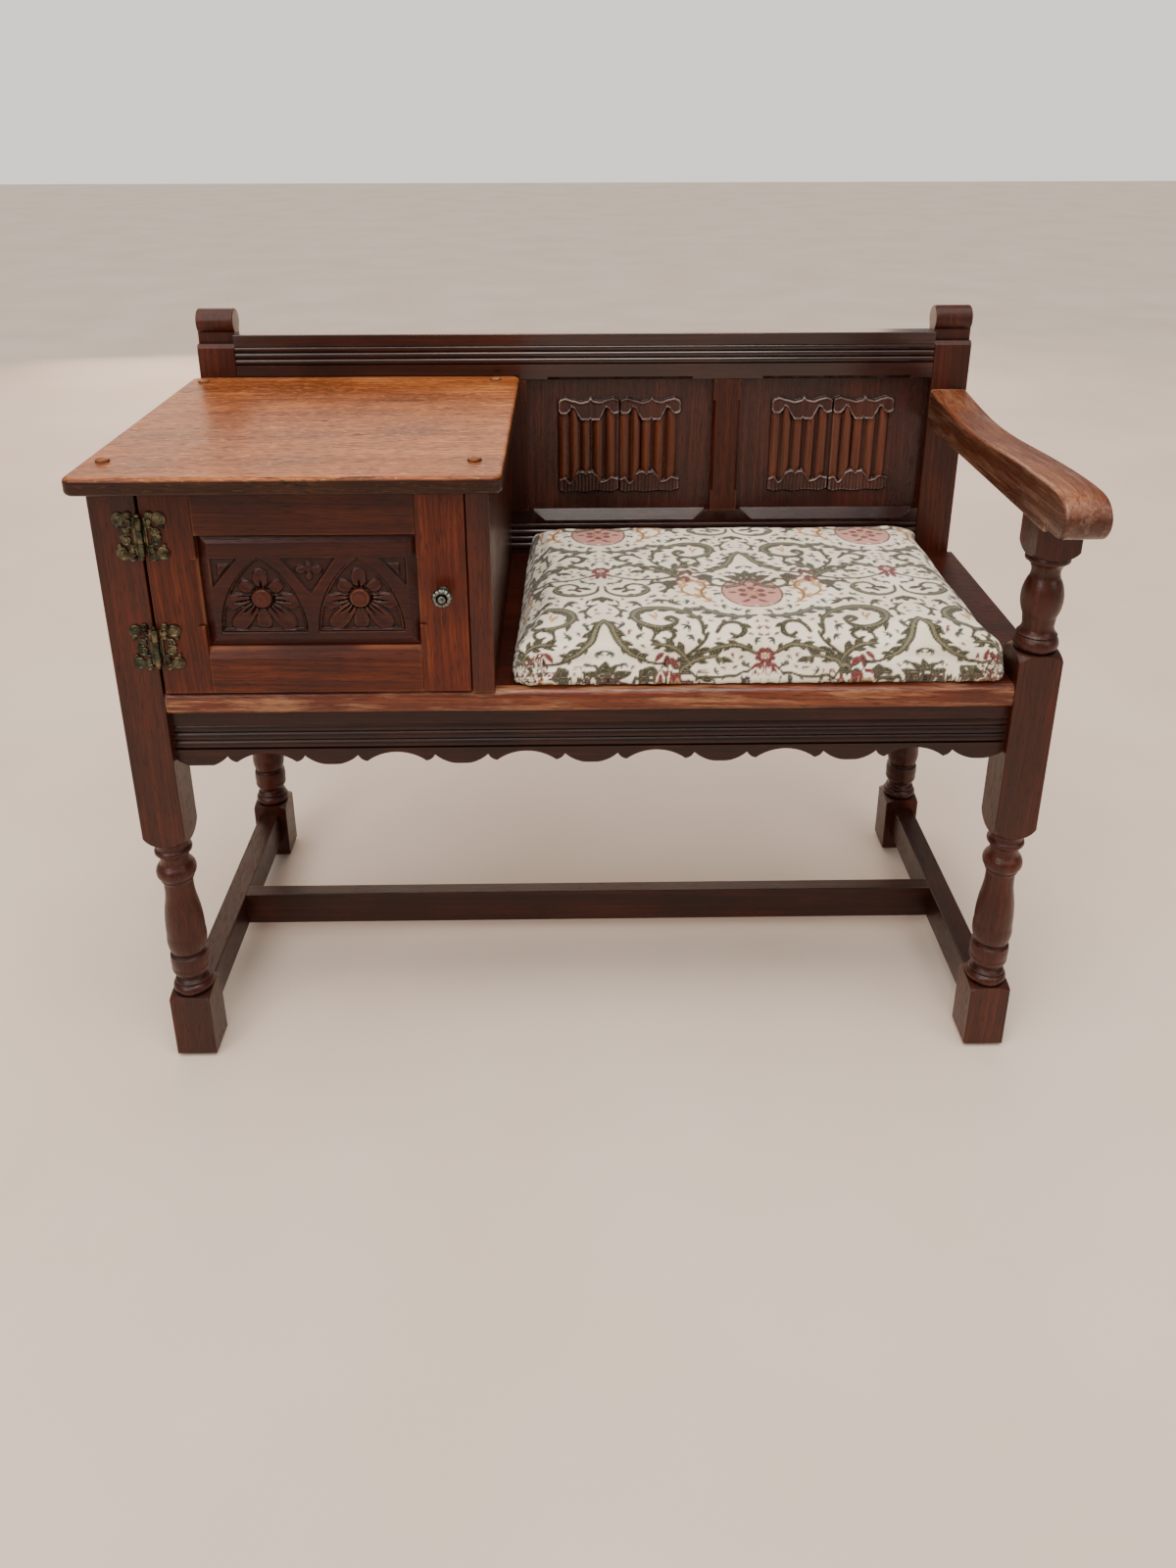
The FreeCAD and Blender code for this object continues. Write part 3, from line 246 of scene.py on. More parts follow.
@dataclass(frozen=True)
class WaxedOak:
    """European oak, stained dark and rubbed with wax.

    The eye gets long brown streaks with open pores, painted near-black shade in the grooves, paler
    worn arrises, and a soft gloss from the wax.
    """

    name: str
    dark: str
    middle: str
    light: str
    # Stain in the pores; the same colour also paints shade in grooves, on upright sides and in
    # carved cuts.
    stain_and_shade: str = "#0d0504"
    worn: str = "#a5673f"
    wear: float = 0.5
    fleck: float = 0.0
    gloss: float = 0.36
    ring_mm: float = 7.0
    streak_mm: float = 3.2
    pore_mm: float = 1.0        # real pores are 0.3 mm wide: drawn wider so that they show
    pore_share: float = 0.6     # how dark the pores are
    grain_bump: float = 0.5     # strength of the bump from pores and streaks
    scuffed: float = 0.0        # share of the surface rubbed pale in long patches
    shine: float = 0.38
    groove_shade_mm: float = 11.0     # how wide a groove has to be for its painted shade to fade
    # how dark the painted shade in grooves is
    groove_shade_share: float = 0.9
    carved: float = 0.0         # how pale the crisp edges of carving are: wear and a painted highlight
    bare: str = "#8a4a24"       # the wood where carving is rubbed, also a painted highlight on the linenfold's ridges
    side_shade: float = 0.0     # painted shade: how much darker faces turned away from straight up are than the top

    def board(self, tree: bpy.types.NodeTree, member: str, grain: Grain,
              centre: Vector) -> bpy.types.NodeSocket:
        """Cut one member from its own part of the tree.

        Args:
            tree: the material's node tree.
            member: the member's name, which seeds where it was cut.
            grain: the direction of the member's grain.
            centre: the middle of the member, in metres.

        Returns:
            Places in the wood, in metres, with the grain along X.
        """
        draw = random.Random(member)
        # The tree's heart lies off to one side and at a slight angle, so rings show as flames.
        lean = (draw.uniform(-0.2, 0.2), draw.uniform(-0.03, 0.03), draw.uniform(-0.03, 0.03))
        heart = (draw.uniform(1.0, 9.0), draw.uniform(0.02, 0.06), draw.uniform(0.05, 0.09))
        place = add_node(tree, "TexCoord", {}, "Object")
        for shift, turn in ((-centre, Grain.ALONG_X.value), ((0.0, 0.0, 0.0), grain.value),
                            (heart, lean)):
            place = add_node(tree, "Mapping", {
                "Vector": place, "Location": shift, "Rotation": turn})
        return place

    def figure(self, tree: bpy.types.NodeTree,
               board: bpy.types.NodeSocket) -> dict[str, bpy.types.NodeSocket]:
        """Draw the grain's separate parts.

        Args:
            tree: the material's node tree.
            board: places in the wood.

        Returns:
            Each part's strength, by name.
        """
        # Length and width of a mark in mm, then detail, roughness and distortion of its noise.
        marks = {"streaks": (150, self.streak_mm, 4.0, 0.6, 0.0),
                 "figure": (420, 34, 2.0, 0.5, 0.0),
                 "pores": (15, self.pore_mm, 1.0, 0.5, 0.0),
                 "blotch": (75, 75, 3.0, 0.5, 0.0)}
        if self.fleck:
            marks["rays"] = (9, 2.6, 2.0, 0.5, 0.6)
        if self.scuffed:
            marks["patches"] = (95, 9, 5.0, 0.7, 0.0)
        parts = {}
        for name, (long, wide, detail, roughness, distortion) in marks.items():
            across = 1.0 / (wide * MM)
            cell = add_node(tree, "Mapping", {
                "Vector": board, "Scale": (1.0 / (long * MM), across, across)})
            parts[name] = add_node(tree, "TexNoise", {
                "Vector": cell, "Scale": 1.0, "Detail": detail, "Roughness": roughness,
                "Distortion": distortion})
        stretched = add_node(tree, "Mapping", {"Vector": board, "Scale": (0.10, 1.0, 1.0)})
        parts["rings"] = add_node(tree, "TexWave", {
            "Vector": stretched, "Scale": ONE_WAVE / (self.ring_mm * MM), "Distortion": 3.2,
            "Detail": 2.0, "Detail Scale": 0.35, "Detail Roughness": 0.5}, "Fac",
            wave_type="RINGS", rings_direction="X", wave_profile="SAW")
        return parts

    def coats(self, tree: bpy.types.NodeTree, parts: dict) -> list[tuple]:
        """List what lies over the stained wood, from the first coat to the last.

        Args:
            tree: the material's node tree.
            parts: the grain's parts.

        Returns:
            Where each coat shows, and its colour.
        """
        late = add_node(tree, "ValToRGB", {"Fac": parts["rings"]}, stops=(
            (0.0, 0.0), (0.72, 0.22), (0.97, 1.0), (1.0, 0.0)))
        coats = [(add_node(tree, "Math", {0: late, 1: 0.42}, operation="MULTIPLY"), self.dark)]
        if self.fleck:
            # Medullary rays: short bright dashes that lie across the streaks.
            coats.append((add_node(tree, "ValToRGB", {"Fac": parts["rays"]}, stops=(
                (0.56, 0.0), (0.70, self.fleck))), self.light))
        coats.append((add_node(tree, "Math", {0: parts["open pores"], 1: self.pore_share},
                               operation="MULTIPLY"), self.stain_and_shade))
        if self.side_shade:
            # Painted shade: faces turned away from straight up are darker than the top face.
            facing = add_node(tree, "SeparateXYZ", {
                "Vector": add_node(tree, "NewGeometry", {}, "Normal")}, "Z")
            coats.append((add_node(tree, "ValToRGB", {"Fac": facing}, stops=(
                (0.25, self.side_shade), (0.75, 0.0))), self.stain_and_shade))
        # Handling has rubbed the stain off convex edges, more in some places than in others.
        thin = add_node(tree, "AmbientOcclusion", {"Distance": 5 * MM}, "AO",
                        inside=True, only_local=True, samples=6)
        edge = add_node(tree, "ValToRGB", {"Fac": thin}, stops=((0.30, 1.0), (0.62, 0.0)))
        rubbed = add_node(tree, "ValToRGB", {"Fac": parts["blotch"]}, stops=(
            (0.40, 0.12), (0.66, 1.0)))
        share = add_node(tree, "Math", {0: rubbed, 1: self.wear}, operation="MULTIPLY")
        coats.append((add_node(tree, "Math", {0: edge, 1: share}, operation="MULTIPLY"), self.worn))
        if self.scuffed:
            # Knees and skirts have rubbed long patches through to the bare wood.
            coats.append((add_node(tree, "ValToRGB", {"Fac": parts["patches"]}, stops=(
                (0.50, 0.0), (0.64, self.scuffed))), self.worn))
        if self.carved:
            coats += self.carved_coats(tree, parts["streaks"], rubbed)
        # Painted shade: grooves and inner corners hidden by the member's own shape are darkened.
        hollow = add_node(tree, "AmbientOcclusion", {"Distance": self.groove_shade_mm * MM}, "AO",
                          only_local=True, samples=6)
        coats.append((add_node(tree, "ValToRGB", {"Fac": hollow}, stops=(
            (0.35, self.groove_shade_share), (0.93, 0.0))), self.stain_and_shade))
        return coats

    def carved_coats(self, tree: bpy.types.NodeTree, streaks: bpy.types.NodeSocket,
                     rubbed: bpy.types.NodeSocket) -> list[tuple]:
        """Read from a carved board's own "rubbed" and "relief" where it is bare, where a highlight
        is painted on its crisp edges and where shade is painted in its cuts.

        Args:
            tree: the material's node tree.
            streaks: the wood's streaks.
            rubbed: where hands have been.

        Returns:
            Where each coat shows, and its colour.
        """
        rub, relief = (add_node(tree, "Attribute", {}, "Fac", attribute_name=name)
                       for name in ("rubbed", "relief"))
        broken = add_node(tree, "Math", {0: streaks, 1: 1.6, 2: -0.25}, operation="MULTIPLY_ADD")
        bare = add_node(tree, "Math", {0: rub, 1: broken}, operation="MULTIPLY")
        level = add_node(tree, "Math", {0: relief, 1: 0.4, 2: 0.5}, operation="MULTIPLY_ADD")
        # Crisp carved edges are painted pale: wear and a painted highlight.
        high = add_node(tree, "ValToRGB", {"Fac": level}, stops=((0.58, 0.0), (0.95, self.carved)))
        crisp = add_node(tree, "Math", {0: high, 1: rubbed}, operation="MULTIPLY")
        # Carved cuts are painted dark: painted shade.
        cut = add_node(tree, "ValToRGB", {"Fac": level}, stops=((0.08, 0.97), (0.46, 0.0)))
        return [(bare, self.bare), (crisp, self.worn), (cut, self.stain_and_shade)]

    def material(self, member: str, grain: Grain, centre: Vector) -> bpy.types.Material:
        """Make this finish for one member.

        Args:
            member: the member's name.
            grain: the direction of the member's grain.
            centre: the middle of the member, in metres.

        Returns:
            The material.
        """
        material, tree, shader = new_material(f"{self.name}_{member}")
        parts = self.figure(tree, self.board(tree, member, grain, centre))
        parts["open pores"] = add_node(tree, "ValToRGB", {"Fac": parts["pores"]}, stops=(
            (0.56, 0.0), (0.69, 1.0)))
        tone = 0.0
        for name, share in (("blotch", 0.35), ("figure", 0.5), ("streaks", 0.62)):
            tone = add_node(tree, "Math", {0: parts[name], 1: share, 2: tone},
                            operation="MULTIPLY_ADD")
        colour = add_node(tree, "ValToRGB", {"Fac": tone}, stops=(
            (0.46, self.dark), (0.74, self.middle), (1.0, self.light)))
        for mask, coat in self.coats(tree, parts):
            colour = add_node(tree, "Mix", {MIX_FACTOR: mask, MIX_A: colour, MIX_B: coat},
                              MIX_RESULT, data_type="RGBA")
        rough = self.gloss - 0.11
        for name, share in (("blotch", 0.22), ("open pores", 0.44 * self.grain_bump)):
            rough = add_node(tree, "Math", {0: parts[name], 1: share, 2: rough},
                             operation="MULTIPLY_ADD")
        relief = add_node(tree, "Math", {0: parts["open pores"], 1: -0.7, 2: parts["streaks"]},
                          operation="MULTIPLY_ADD")
        set_inputs(tree, shader, {
            "Base Color": colour, "Roughness": rough, "Specular IOR Level": self.shine,
            "Coat Weight": 0.12, "Coat Roughness": 0.2,
            "Normal": add_node(tree, "Bump", {
                "Height": relief, "Distance": 0.35 * MM, "Strength": self.grain_bump})})
        return material


@dataclass(frozen=True)
class CastMetal:
    """A cast or pressed metal with age on it.

    The eye gets bright rubbed high points over a dull dark patina in the hollows.
    """

    name: str
    bright: str
    dull: str
    hollow: str
    roughness: float
    metallic: float = 1.0
    grit_mm: float = 1.4
    hollow_mm: float = 1.6
    tint: str = ""              # the colour of tarnish, where there is some

    def material(self) -> bpy.types.Material:
        """Make the material.

        Returns:
            The material, which reads each piece's own place.
        """
        material, tree, shader = new_material(self.name)
        place = add_node(tree, "TexCoord", {}, "Object")
        grit = add_node(tree, "TexNoise", {
            "Vector": place, "Scale": 1.0 / (self.grit_mm * MM), "Detail": 4.0})
        colour = add_node(tree, "ValToRGB", {"Fac": grit}, stops=(
            (0.38, self.dull), (0.64, self.bright)))
        shade = add_node(tree, "AmbientOcclusion", {"Distance": self.hollow_mm * MM}, "AO",
                         only_local=True, samples=6)
        coats = [(add_node(tree, "ValToRGB", {"Fac": shade}, stops=((0.45, 1.0), (0.95, 0.0))),
                  self.hollow)]
        if self.tint:
            patch = add_node(tree, "TexNoise", {
                "Vector": place, "Scale": 1.0 / (3.1 * self.grit_mm * MM), "Detail": 2.0})
            coats.insert(0, (add_node(tree, "ValToRGB", {"Fac": patch}, stops=(
                (0.50, 0.0), (0.66, 0.7))), self.tint))
        for mask, coat in coats:
            colour = add_node(tree, "Mix", {MIX_FACTOR: mask, MIX_A: colour, MIX_B: coat},
                              MIX_RESULT, data_type="RGBA")
        set_inputs(tree, shader, {
            "Base Color": colour, "Metallic": self.metallic,
            "Roughness": add_node(tree, "Math", {0: grit, 1: 0.3, 2: self.roughness - 0.15},
                                  operation="MULTIPLY_ADD"),
            "Normal": add_node(tree, "Bump", {
                "Height": grit, "Distance": 0.12 * MM, "Strength": 0.5})})
        return material


@dataclass(frozen=True)
class PlainSurface:
    """Moulded plastic, plywood or paint: two close colours, one grit and a soft gloss."""

    name: str
    low: str
    high: str
    roughness: float
    grain_mm: tuple[float, float, float]
    relief_mm: float = 0.05

    def material(self) -> bpy.types.Material:
        """Make the material.

        Returns:
            The material.
        """
        material, tree, shader = new_material(self.name)
        scaled = add_node(tree, "Mapping", {
            "Vector": add_node(tree, "TexCoord", {}, "Object"),
            "Scale": [1.0 / (g * MM) for g in self.grain_mm]})
        grain = add_node(tree, "TexNoise", {"Vector": scaled, "Scale": 1.0, "Detail": 3.0})
        set_inputs(tree, shader, {
            "Base Color": add_node(tree, "ValToRGB", {"Fac": grain}, stops=(
                (0.35, self.low), (0.65, self.high))),
            "Roughness": add_node(tree, "Math", {0: grain, 1: 0.12, 2: self.roughness - 0.06},
                                  operation="MULTIPLY_ADD"),
            "Normal": add_node(tree, "Bump", {
                "Height": grain, "Distance": self.relief_mm * MM, "Strength": 0.4})})
        return material


FRAME_OAK = WaxedOak("stained_oak_frame", "#1a0602", "#3a1104", "#5a1f0b", worn="#90502a",
                     shine=0.29)
# A darker copy of the frame's oak for the stretchers low under the seat: painted shade.
LOW_OAK = WaxedOak("shaded_oak_stretchers", "#130402", "#2c0c04", "#481a0a", worn="#7a4527",
                   shine=0.3)
DOOR_OAK = WaxedOak("stained_oak_door", "#220903", "#421404", "#662a0c", worn="#9a5c34",
                    shine=0.24, gloss=0.42, grain_bump=0.3)
LIGHT_DOOR_OAK = WaxedOak("rubbed_oak_door_stile", "#2c0d04", "#561c08", "#803a14", worn="#b06e3c",
                          shine=0.24, gloss=0.42, grain_bump=0.3)
DOOR_RAIL_OAK = WaxedOak("figured_oak_rails", "#1b0702", "#3e1205", "#64290c", worn="#9a5c34",
                         shine=0.24, gloss=0.42, ring_mm=10.0, grain_bump=0.3)
# The top's pale base colour partly stands for its broad warm sheen: painted sheen over waxed oak.
TOP_OAK = WaxedOak("waxed_oak_top", "#411c0a", "#8a461d", "#c98146", worn="#dcb592", wear=0.9,
                   fleck=0.7, gloss=0.36, shine=0.2, side_shade=0.90, pore_share=0.8)
NOSING_OAK = WaxedOak("worn_oak_nosing", "#300e05", "#5e240d", "#8a4a24", worn="#c8946a", wear=0.9,
                      scuffed=0.38)
# The arm's front and sides are painted darker than its top: painted shade.
ARM_OAK = WaxedOak("handled_oak_arm", "#3a180c", "#6e3920", "#9c6948", worn="#d2ac92", wear=0.95,
                   side_shade=0.55, gloss=0.30, scuffed=0.12)
# One black-stained oak in two copies: the reeds' is a little paler, a painted sheen, and the
# apron's a little darker, a painted shade.
REED_OAK = WaxedOak("black_stained_oak_reeds_painted_sheen", "#130706", "#2a0f0a", "#461e14", groove_shade_mm=14.0,
                    worn="#6a463a", gloss=0.20, shine=0.6, grain_bump=0.08)
APRON_OAK = WaxedOak("black_stained_oak_apron_painted_shade", "#120504", "#260c07", "#421a0f", groove_shade_mm=14.0,
                     worn="#5c3624", gloss=0.36, shine=0.24, grain_bump=0.3)
PANEL_OAK = WaxedOak("carved_oak_panel", "#1b0705", "#381009", "#552117", worn="#8a5538",
                     groove_shade_mm=6.0, carved=0.45, bare="#4e2010", gloss=0.34, shine=0.22)
LINEN_OAK = WaxedOak("linenfold_oak", "#190908", "#38150f", "#582a1f", worn="#b39a92",
                     groove_shade_mm=6.0, wear=0.6, carved=0.6, bare="#6e3517", gloss=0.28)
INSIDE_OAK = WaxedOak("plain_oak_inside", "#2a120a", "#442114", "#60361f", wear=0.2, gloss=0.55)
BRASS = CastMetal("antiqued_brass", "#776e56", "#322d24", "#070504", 0.40, grit_mm=9.0,
                  tint="#3a4238")
PEWTER = CastMetal("cast_pewter", "#8b8b86", "#53544f", "#141413", 0.36, grit_mm=3.0,
                   tint="#56685c")
STEEL = CastMetal("zinc_plated_steel", "#b4b3ac", "#8b8a84", "#2c2b29", 0.38)
CATCH = PlainSurface("moulded_brown_plastic", "#33241a", "#3f2d21", 0.45, (0.8, 0.8, 0.8))
PLY = PlainSurface("birch_plywood", "#a87f52", "#c9a274", 0.6, (60.0, 4.0, 1.5))
FLOOR = PlainSurface("plain_painted_floor", "#dccabb", "#e2d2c4", 0.7, (400.0, 400.0, 400.0),
                     relief_mm=0.0)


@dataclass
class BenchFrame:
    """The joined oak frame and its fittings, which keep their shapes and get finishes."""

    nodes: dict

    # Oak members by finish and by the direction of their grain.
    OAK = (
        (FRAME_OAK, Grain.ALONG_Z, (
            "front_left_leg", "front_right_leg", "back_left_post", "back_right_post",
            "back_muntin", "back_left_stile", "cabinet_right_stile", "cabinet_right_side",
            "cabinet_left_side")),
        (FRAME_OAK, Grain.ALONG_X, ("arm_screw_plug", "seat_board")),
        (LOW_OAK, Grain.ALONG_Y, ("left_stretcher", "right_stretcher")),
        (LOW_OAK, Grain.ALONG_X, ("centre_stretcher",)),
        (APRON_OAK, Grain.ALONG_X, ("front_apron",)),
        (REED_OAK, Grain.ALONG_X, ("top_back_rail", "lower_back_rail")),
        (NOSING_OAK, Grain.ALONG_X, ("seat_nosing",)),
        (DOOR_OAK, Grain.ALONG_Z, ("door_left_stile",)),
        (LIGHT_DOOR_OAK, Grain.ALONG_Z, ("door_right_stile",)),
        (DOOR_RAIL_OAK, Grain.ALONG_X, ("door_top_rail", "door_bottom_rail")),
        (TOP_OAK, Grain.ALONG_X, ("table_top", "top_pellets")),
        (ARM_OAK, Grain.ALONG_Y, ("right_arm",)),
        (INSIDE_OAK, Grain.ALONG_Z, ("cabinet_back_panel",)),
        (INSIDE_OAK, Grain.ALONG_Y, (
            "left_top_cleat", "right_top_cleat", "left_seat_rail", "right_seat_rail")),
        (INSIDE_OAK, Grain.ALONG_X, ("back_seat_rail", "corner_blocks")),
    )
    # Metal, plastic and plywood fittings by finish.
    FITTINGS = {
        BRASS: ("hinge_pins", "hinge_leg_screws", "hinge_door_screws"),
        STEEL: ("corner_block_screws", "seat_pad_screws", "top_screws", "top_cleat_screws",
                "arm_screw", "catch_screws", "catch_plate", "catch_plate_screw", "knob_screw"),
        CATCH: ("catch_body",),
        PLY: ("seat_pad_board",),
    }

    def dress_members(self) -> None:
        """Give each oak member its own cut of its finish."""
        for finish, grain, names in self.OAK:
            for name in names:
                dress(self.nodes[name], finish.material(name, grain, centre_of(name)))
            LOG.info("%s: %s", finish.name, ", ".join(names))

    def dress_fittings(self) -> None:
        """Give the fittings their metal, plastic and plywood."""
        for finish, names in self.FITTINGS.items():
            material = finish.material()
            for name in names:
                dress(self.nodes[name], material)
            LOG.info("%s: %s", finish.name, ", ".join(names))


@dataclass
class ReliefBoard:
    """A board whose front is carved: a fine grid pushed in and out, then given its thickness."""

    name: str
    node: str
    centre_x: float
    centre_z: float
    width: float
    height: float
    ground_y: float
    back_y: float
    step: float = 0.8 * MM

    def carve(self, across: np.ndarray, up: np.ndarray) -> tuple[np.ndarray, np.ndarray]:
        """Return how far the front stands out and how bare it is rubbed, which on the linenfold's
        ridges is also a painted highlight.

        Args:
            across: distance right of the centre, in mm.
            up: distance above the centre, in mm.

        Returns:
            Height in front of the ground, in mm, negative where cut in; share of bare wood.
        """
        raise NotImplementedError

    def build(self, body: str, finish: WaxedOak, grain: Grain) -> None:
        """Shape the board, dress it and put it on its body.

        Args:
            body: the body that it rides on.
            finish: its oak.
            grain: the direction of its grain.
        """
        low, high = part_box(self.node)
        bm = bmesh.new()
        relief = bm.verts.layers.float.new("relief")
        rubbed = bm.verts.layers.float.new("rubbed")
        upright_grid(bm, Vector((self.centre_x, self.ground_y, self.centre_z)), self.width,
                     self.height, self.step)
        field = list(bm.verts)
        places = np.array([v.co for v in field])
        stands, bare = self.carve((places[:, 0] - self.centre_x) / MM,
                                  (places[:, 2] - self.centre_z) / MM)
        rim = [e for e in bm.edges if e.is_boundary]
        sharpness = self.sharpness(places, stands)
        for vert, stand, crisp, worn in zip(field, stands, sharpness, bare):
            vert.co.y = self.ground_y - stand * MM
            vert[relief] = crisp
            vert[rubbed] = worn
        bmesh.ops.smooth_vert(bm, verts=field, factor=0.35, use_axis_y=True)
        # The plain margin runs from the carved field to the board's own edges.
        margin = self.widen(bm, rim, low, high)
        backs = bmesh.ops.extrude_edge_only(bm, edges=margin)["geom"]
        for vert in kept(backs, bmesh.types.BMVert):
            vert.co.y = self.back_y
        bmesh.ops.holes_fill(bm, edges=kept(backs, bmesh.types.BMEdge))
        bmesh.ops.recalc_face_normals(bm, faces=bm.faces)
        material = finish.material(self.node, grain, centre_of(self.node))
        fit_piece(finish_mesh(self.name, bm, 65.0), material, body, self.node)

    def sharpness(self, places: np.ndarray, stands: np.ndarray) -> np.ndarray:
        """Compare each point's height with its surroundings.

        Args:
            places: the grid's points, in metres.
            stands: their heights, in mm.

        Returns:
            How far each stands above (edges) or below (cuts) the mean nearby, in mm.
        """
        cols, rows = (
            np.rint((line - line.min()) / (size / round(size / self.step))).astype(int)
            for line, size in ((places[:, 0], self.width), (places[:, 2], self.height)))
        sheet = np.zeros((rows.max() + 1, cols.max() + 1))
        sheet[rows, cols] = stands
        mean = sheet
        for _ in range(4):
            mean = (mean + np.roll(mean, 1, 0) + np.roll(mean, -1, 0)) / 3
            mean = (mean + np.roll(mean, 1, 1) + np.roll(mean, -1, 1)) / 3
        return (sheet - mean)[rows, cols]

    def widen(self, bm: bmesh.types.BMesh, rim: list, low: Vector, high: Vector) -> list:
        """Carry the field's rim out to the edges of the board.

        Args:
            bm: the board so far.
            rim: the edges round the carved field.
            low: lowest corner of the board.
            high: highest corner of the board.

        Returns:
            The new outer edges.
        """
        left, right = self.centre_x - self.width / 2, self.centre_x + self.width / 2
        foot, head = self.centre_z - self.height / 2, self.centre_z + self.height / 2
        outer = bmesh.ops.extrude_edge_only(bm, edges=rim)["geom"]
        for vert in kept(outer, bmesh.types.BMVert):
            if vert.co.x < left + self.step / 2:
                vert.co.x = low.x
            elif vert.co.x > right - self.step / 2:
                vert.co.x = high.x
            if vert.co.z < foot + self.step / 2:
                vert.co.z = low.z
            elif vert.co.z > head - self.step / 2:
                vert.co.z = high.z
            vert.co.y = self.ground_y
        return [edge for edge in kept(outer, bmesh.types.BMEdge) if edge.is_boundary]


class LinenfoldPanel(ReliefBoard):
    """A back panel with two folds of carved linen side by side."""

    FIELD = (151.0, 122.0)
    # Outlines within one fold, as (distance from its left side, depth below the top), in mm.
    HEM = ((0, 7), (2, 3.6), (8.5, 1.6), (18, 4.4), (28, 7), (36, 5.2), (39.5, 1.2), (43, 4.8),
           (51, 6.4), (60, 3.2), (67, 1.6), (73, 3.6), (75.5, 7))
    LIP = ((0, 18), (3, 22), (10, 22), (13, 19), (16, 13), (20, 15), (25, 25), (28, 30), (38, 30),
           (39.2, 27.5), (40.4, 30), (50, 30), (53, 24), (58.5, 13.5), (62, 15), (65, 20),
           (68, 22), (73.5, 21), (75.5, 18))
    SILL = ((0, 106), (8, 104), (13, 111), (17, 108), (21.5, 99), (27, 95.5), (31, 96.5),
            (34, 99.5), (37, 96.5), (42, 95.5), (47, 101), (52.4, 109), (58, 107.5), (66, 103),
            (75.5, 105))
    FOOT = ((0, 121), (7, 123.6), (18, 121.8), (32, 123.6), (48, 121.6), (66, 122.6), (75.5, 119.4))
    FOLDS = (5.8, 19.4, 33.4, 49.0, 64.4)
    FOLD_HALF = 7.0
    # The finely gridded part of the board, the height of its middle and the depth of its ground.
    GRID = (0.160, 0.130)
    MIDDLE_Z = 0.601
    SUNK = 6.0 * MM

    def carve(self, across: np.ndarray, up: np.ndarray) -> tuple[np.ndarray, np.ndarray]:
        """Shape the hem, the ridges and the lower border, each one layer above the next.

        Args:
            across: distance right of the centre, in mm.
            up: distance above the centre, in mm.

        Returns:
            Height in front of the ground, in mm; share of bare wood, which also paints a highlight
            on the ridges.
        """
        width, height = self.FIELD
        fold_width = width / 2
        left = across + width / 2
        depth = height / 2 - up
        fold = np.mod(np.clip(left, 0.0, width - 1e-6), fold_width)
        hem, lip, sill, foot = (self.outline(points, fold) for points in (
            self.HEM, self.LIP, self.SILL, self.FOOT))
        inside = (smooth((depth - hem) / 1.6 + 0.5) * smooth((foot - depth) / 1.6 + 0.5)
                  * smooth(left / 1.6 + 0.5) * smooth((width - left) / 1.6 + 0.5))
        ridge = np.zeros_like(fold)
        for middle in self.FOLDS:
            away = np.clip(np.abs(fold - middle) / self.FOLD_HALF, 0.0, 1.0)
            ridge = np.maximum(ridge, np.cos(away * math.pi / 2) ** 0.8)
        cloth = 0.2 + 4.2 * ridge
        # The ridges sink a little towards their ends, under the hem and into the sill.
        cloth -= 0.9 * smooth((lip + 9.0 - depth) / 9.0) + 0.9 * smooth((depth - sill + 7.0) / 7.0)
        centre_dip = 1.1 * smooth(1.0 - np.abs(fold - 39.3) / 13.0)
        # The hem is hollowed, and its lower lip rolls outward.
        hollow = smooth((depth - hem) / 5.0) * smooth((lip - depth) / 4.0)
        hem_top = 6.0 - 0.6 * centre_dip - 1.9 * hollow
        sill_cut = 0.45 * np.sin(fold * 2 * math.pi / 4.4) * smooth((depth - sill - 1.0) / 5.0)
        sill_top = 4.0 - sill_cut + 1.0 * smooth(1.0 - np.abs(depth - sill - 1.4) / 2.0)
        is_hem = smooth((lip - depth) / 1.3 + 0.5)
        is_sill = smooth((depth - sill) / 1.3 + 0.5)
        stand = cloth * (1 - is_hem) * (1 - is_sill) + hem_top * is_hem + sill_top * is_sill
        seam = 1.0 - 0.75 * smooth(1.0 - np.abs(left - fold_width) / 1.5)
        # The ridges are painted paler: rubbed wood, and a painted highlight on their lit tops.
        bare = 0.85 * ridge * (1 - is_hem) * (1 - is_sill) * inside
        return np.maximum(stand, 0.0) * inside * seam, bare

    @staticmethod
    def outline(points: tuple, fold: np.ndarray) -> np.ndarray:
        """Draw an eased curve through the points of one fold.

        Args:
            points: distance and depth pairs, in mm.
            fold: where to read the curve, in mm.

        Returns:
            The depth at each place.
        """
        places = np.array([p[0] for p in points], float)
        depths = np.array([p[1] for p in points], float)
        span = np.clip(np.searchsorted(places, fold, side="right") - 1, 0, len(places) - 2)
        part = (fold - places[span]) / (places[span + 1] - places[span])
        eased = 0.5 * part + 0.5 * smooth(part)
        return depths[span] + (depths[span + 1] - depths[span]) * eased


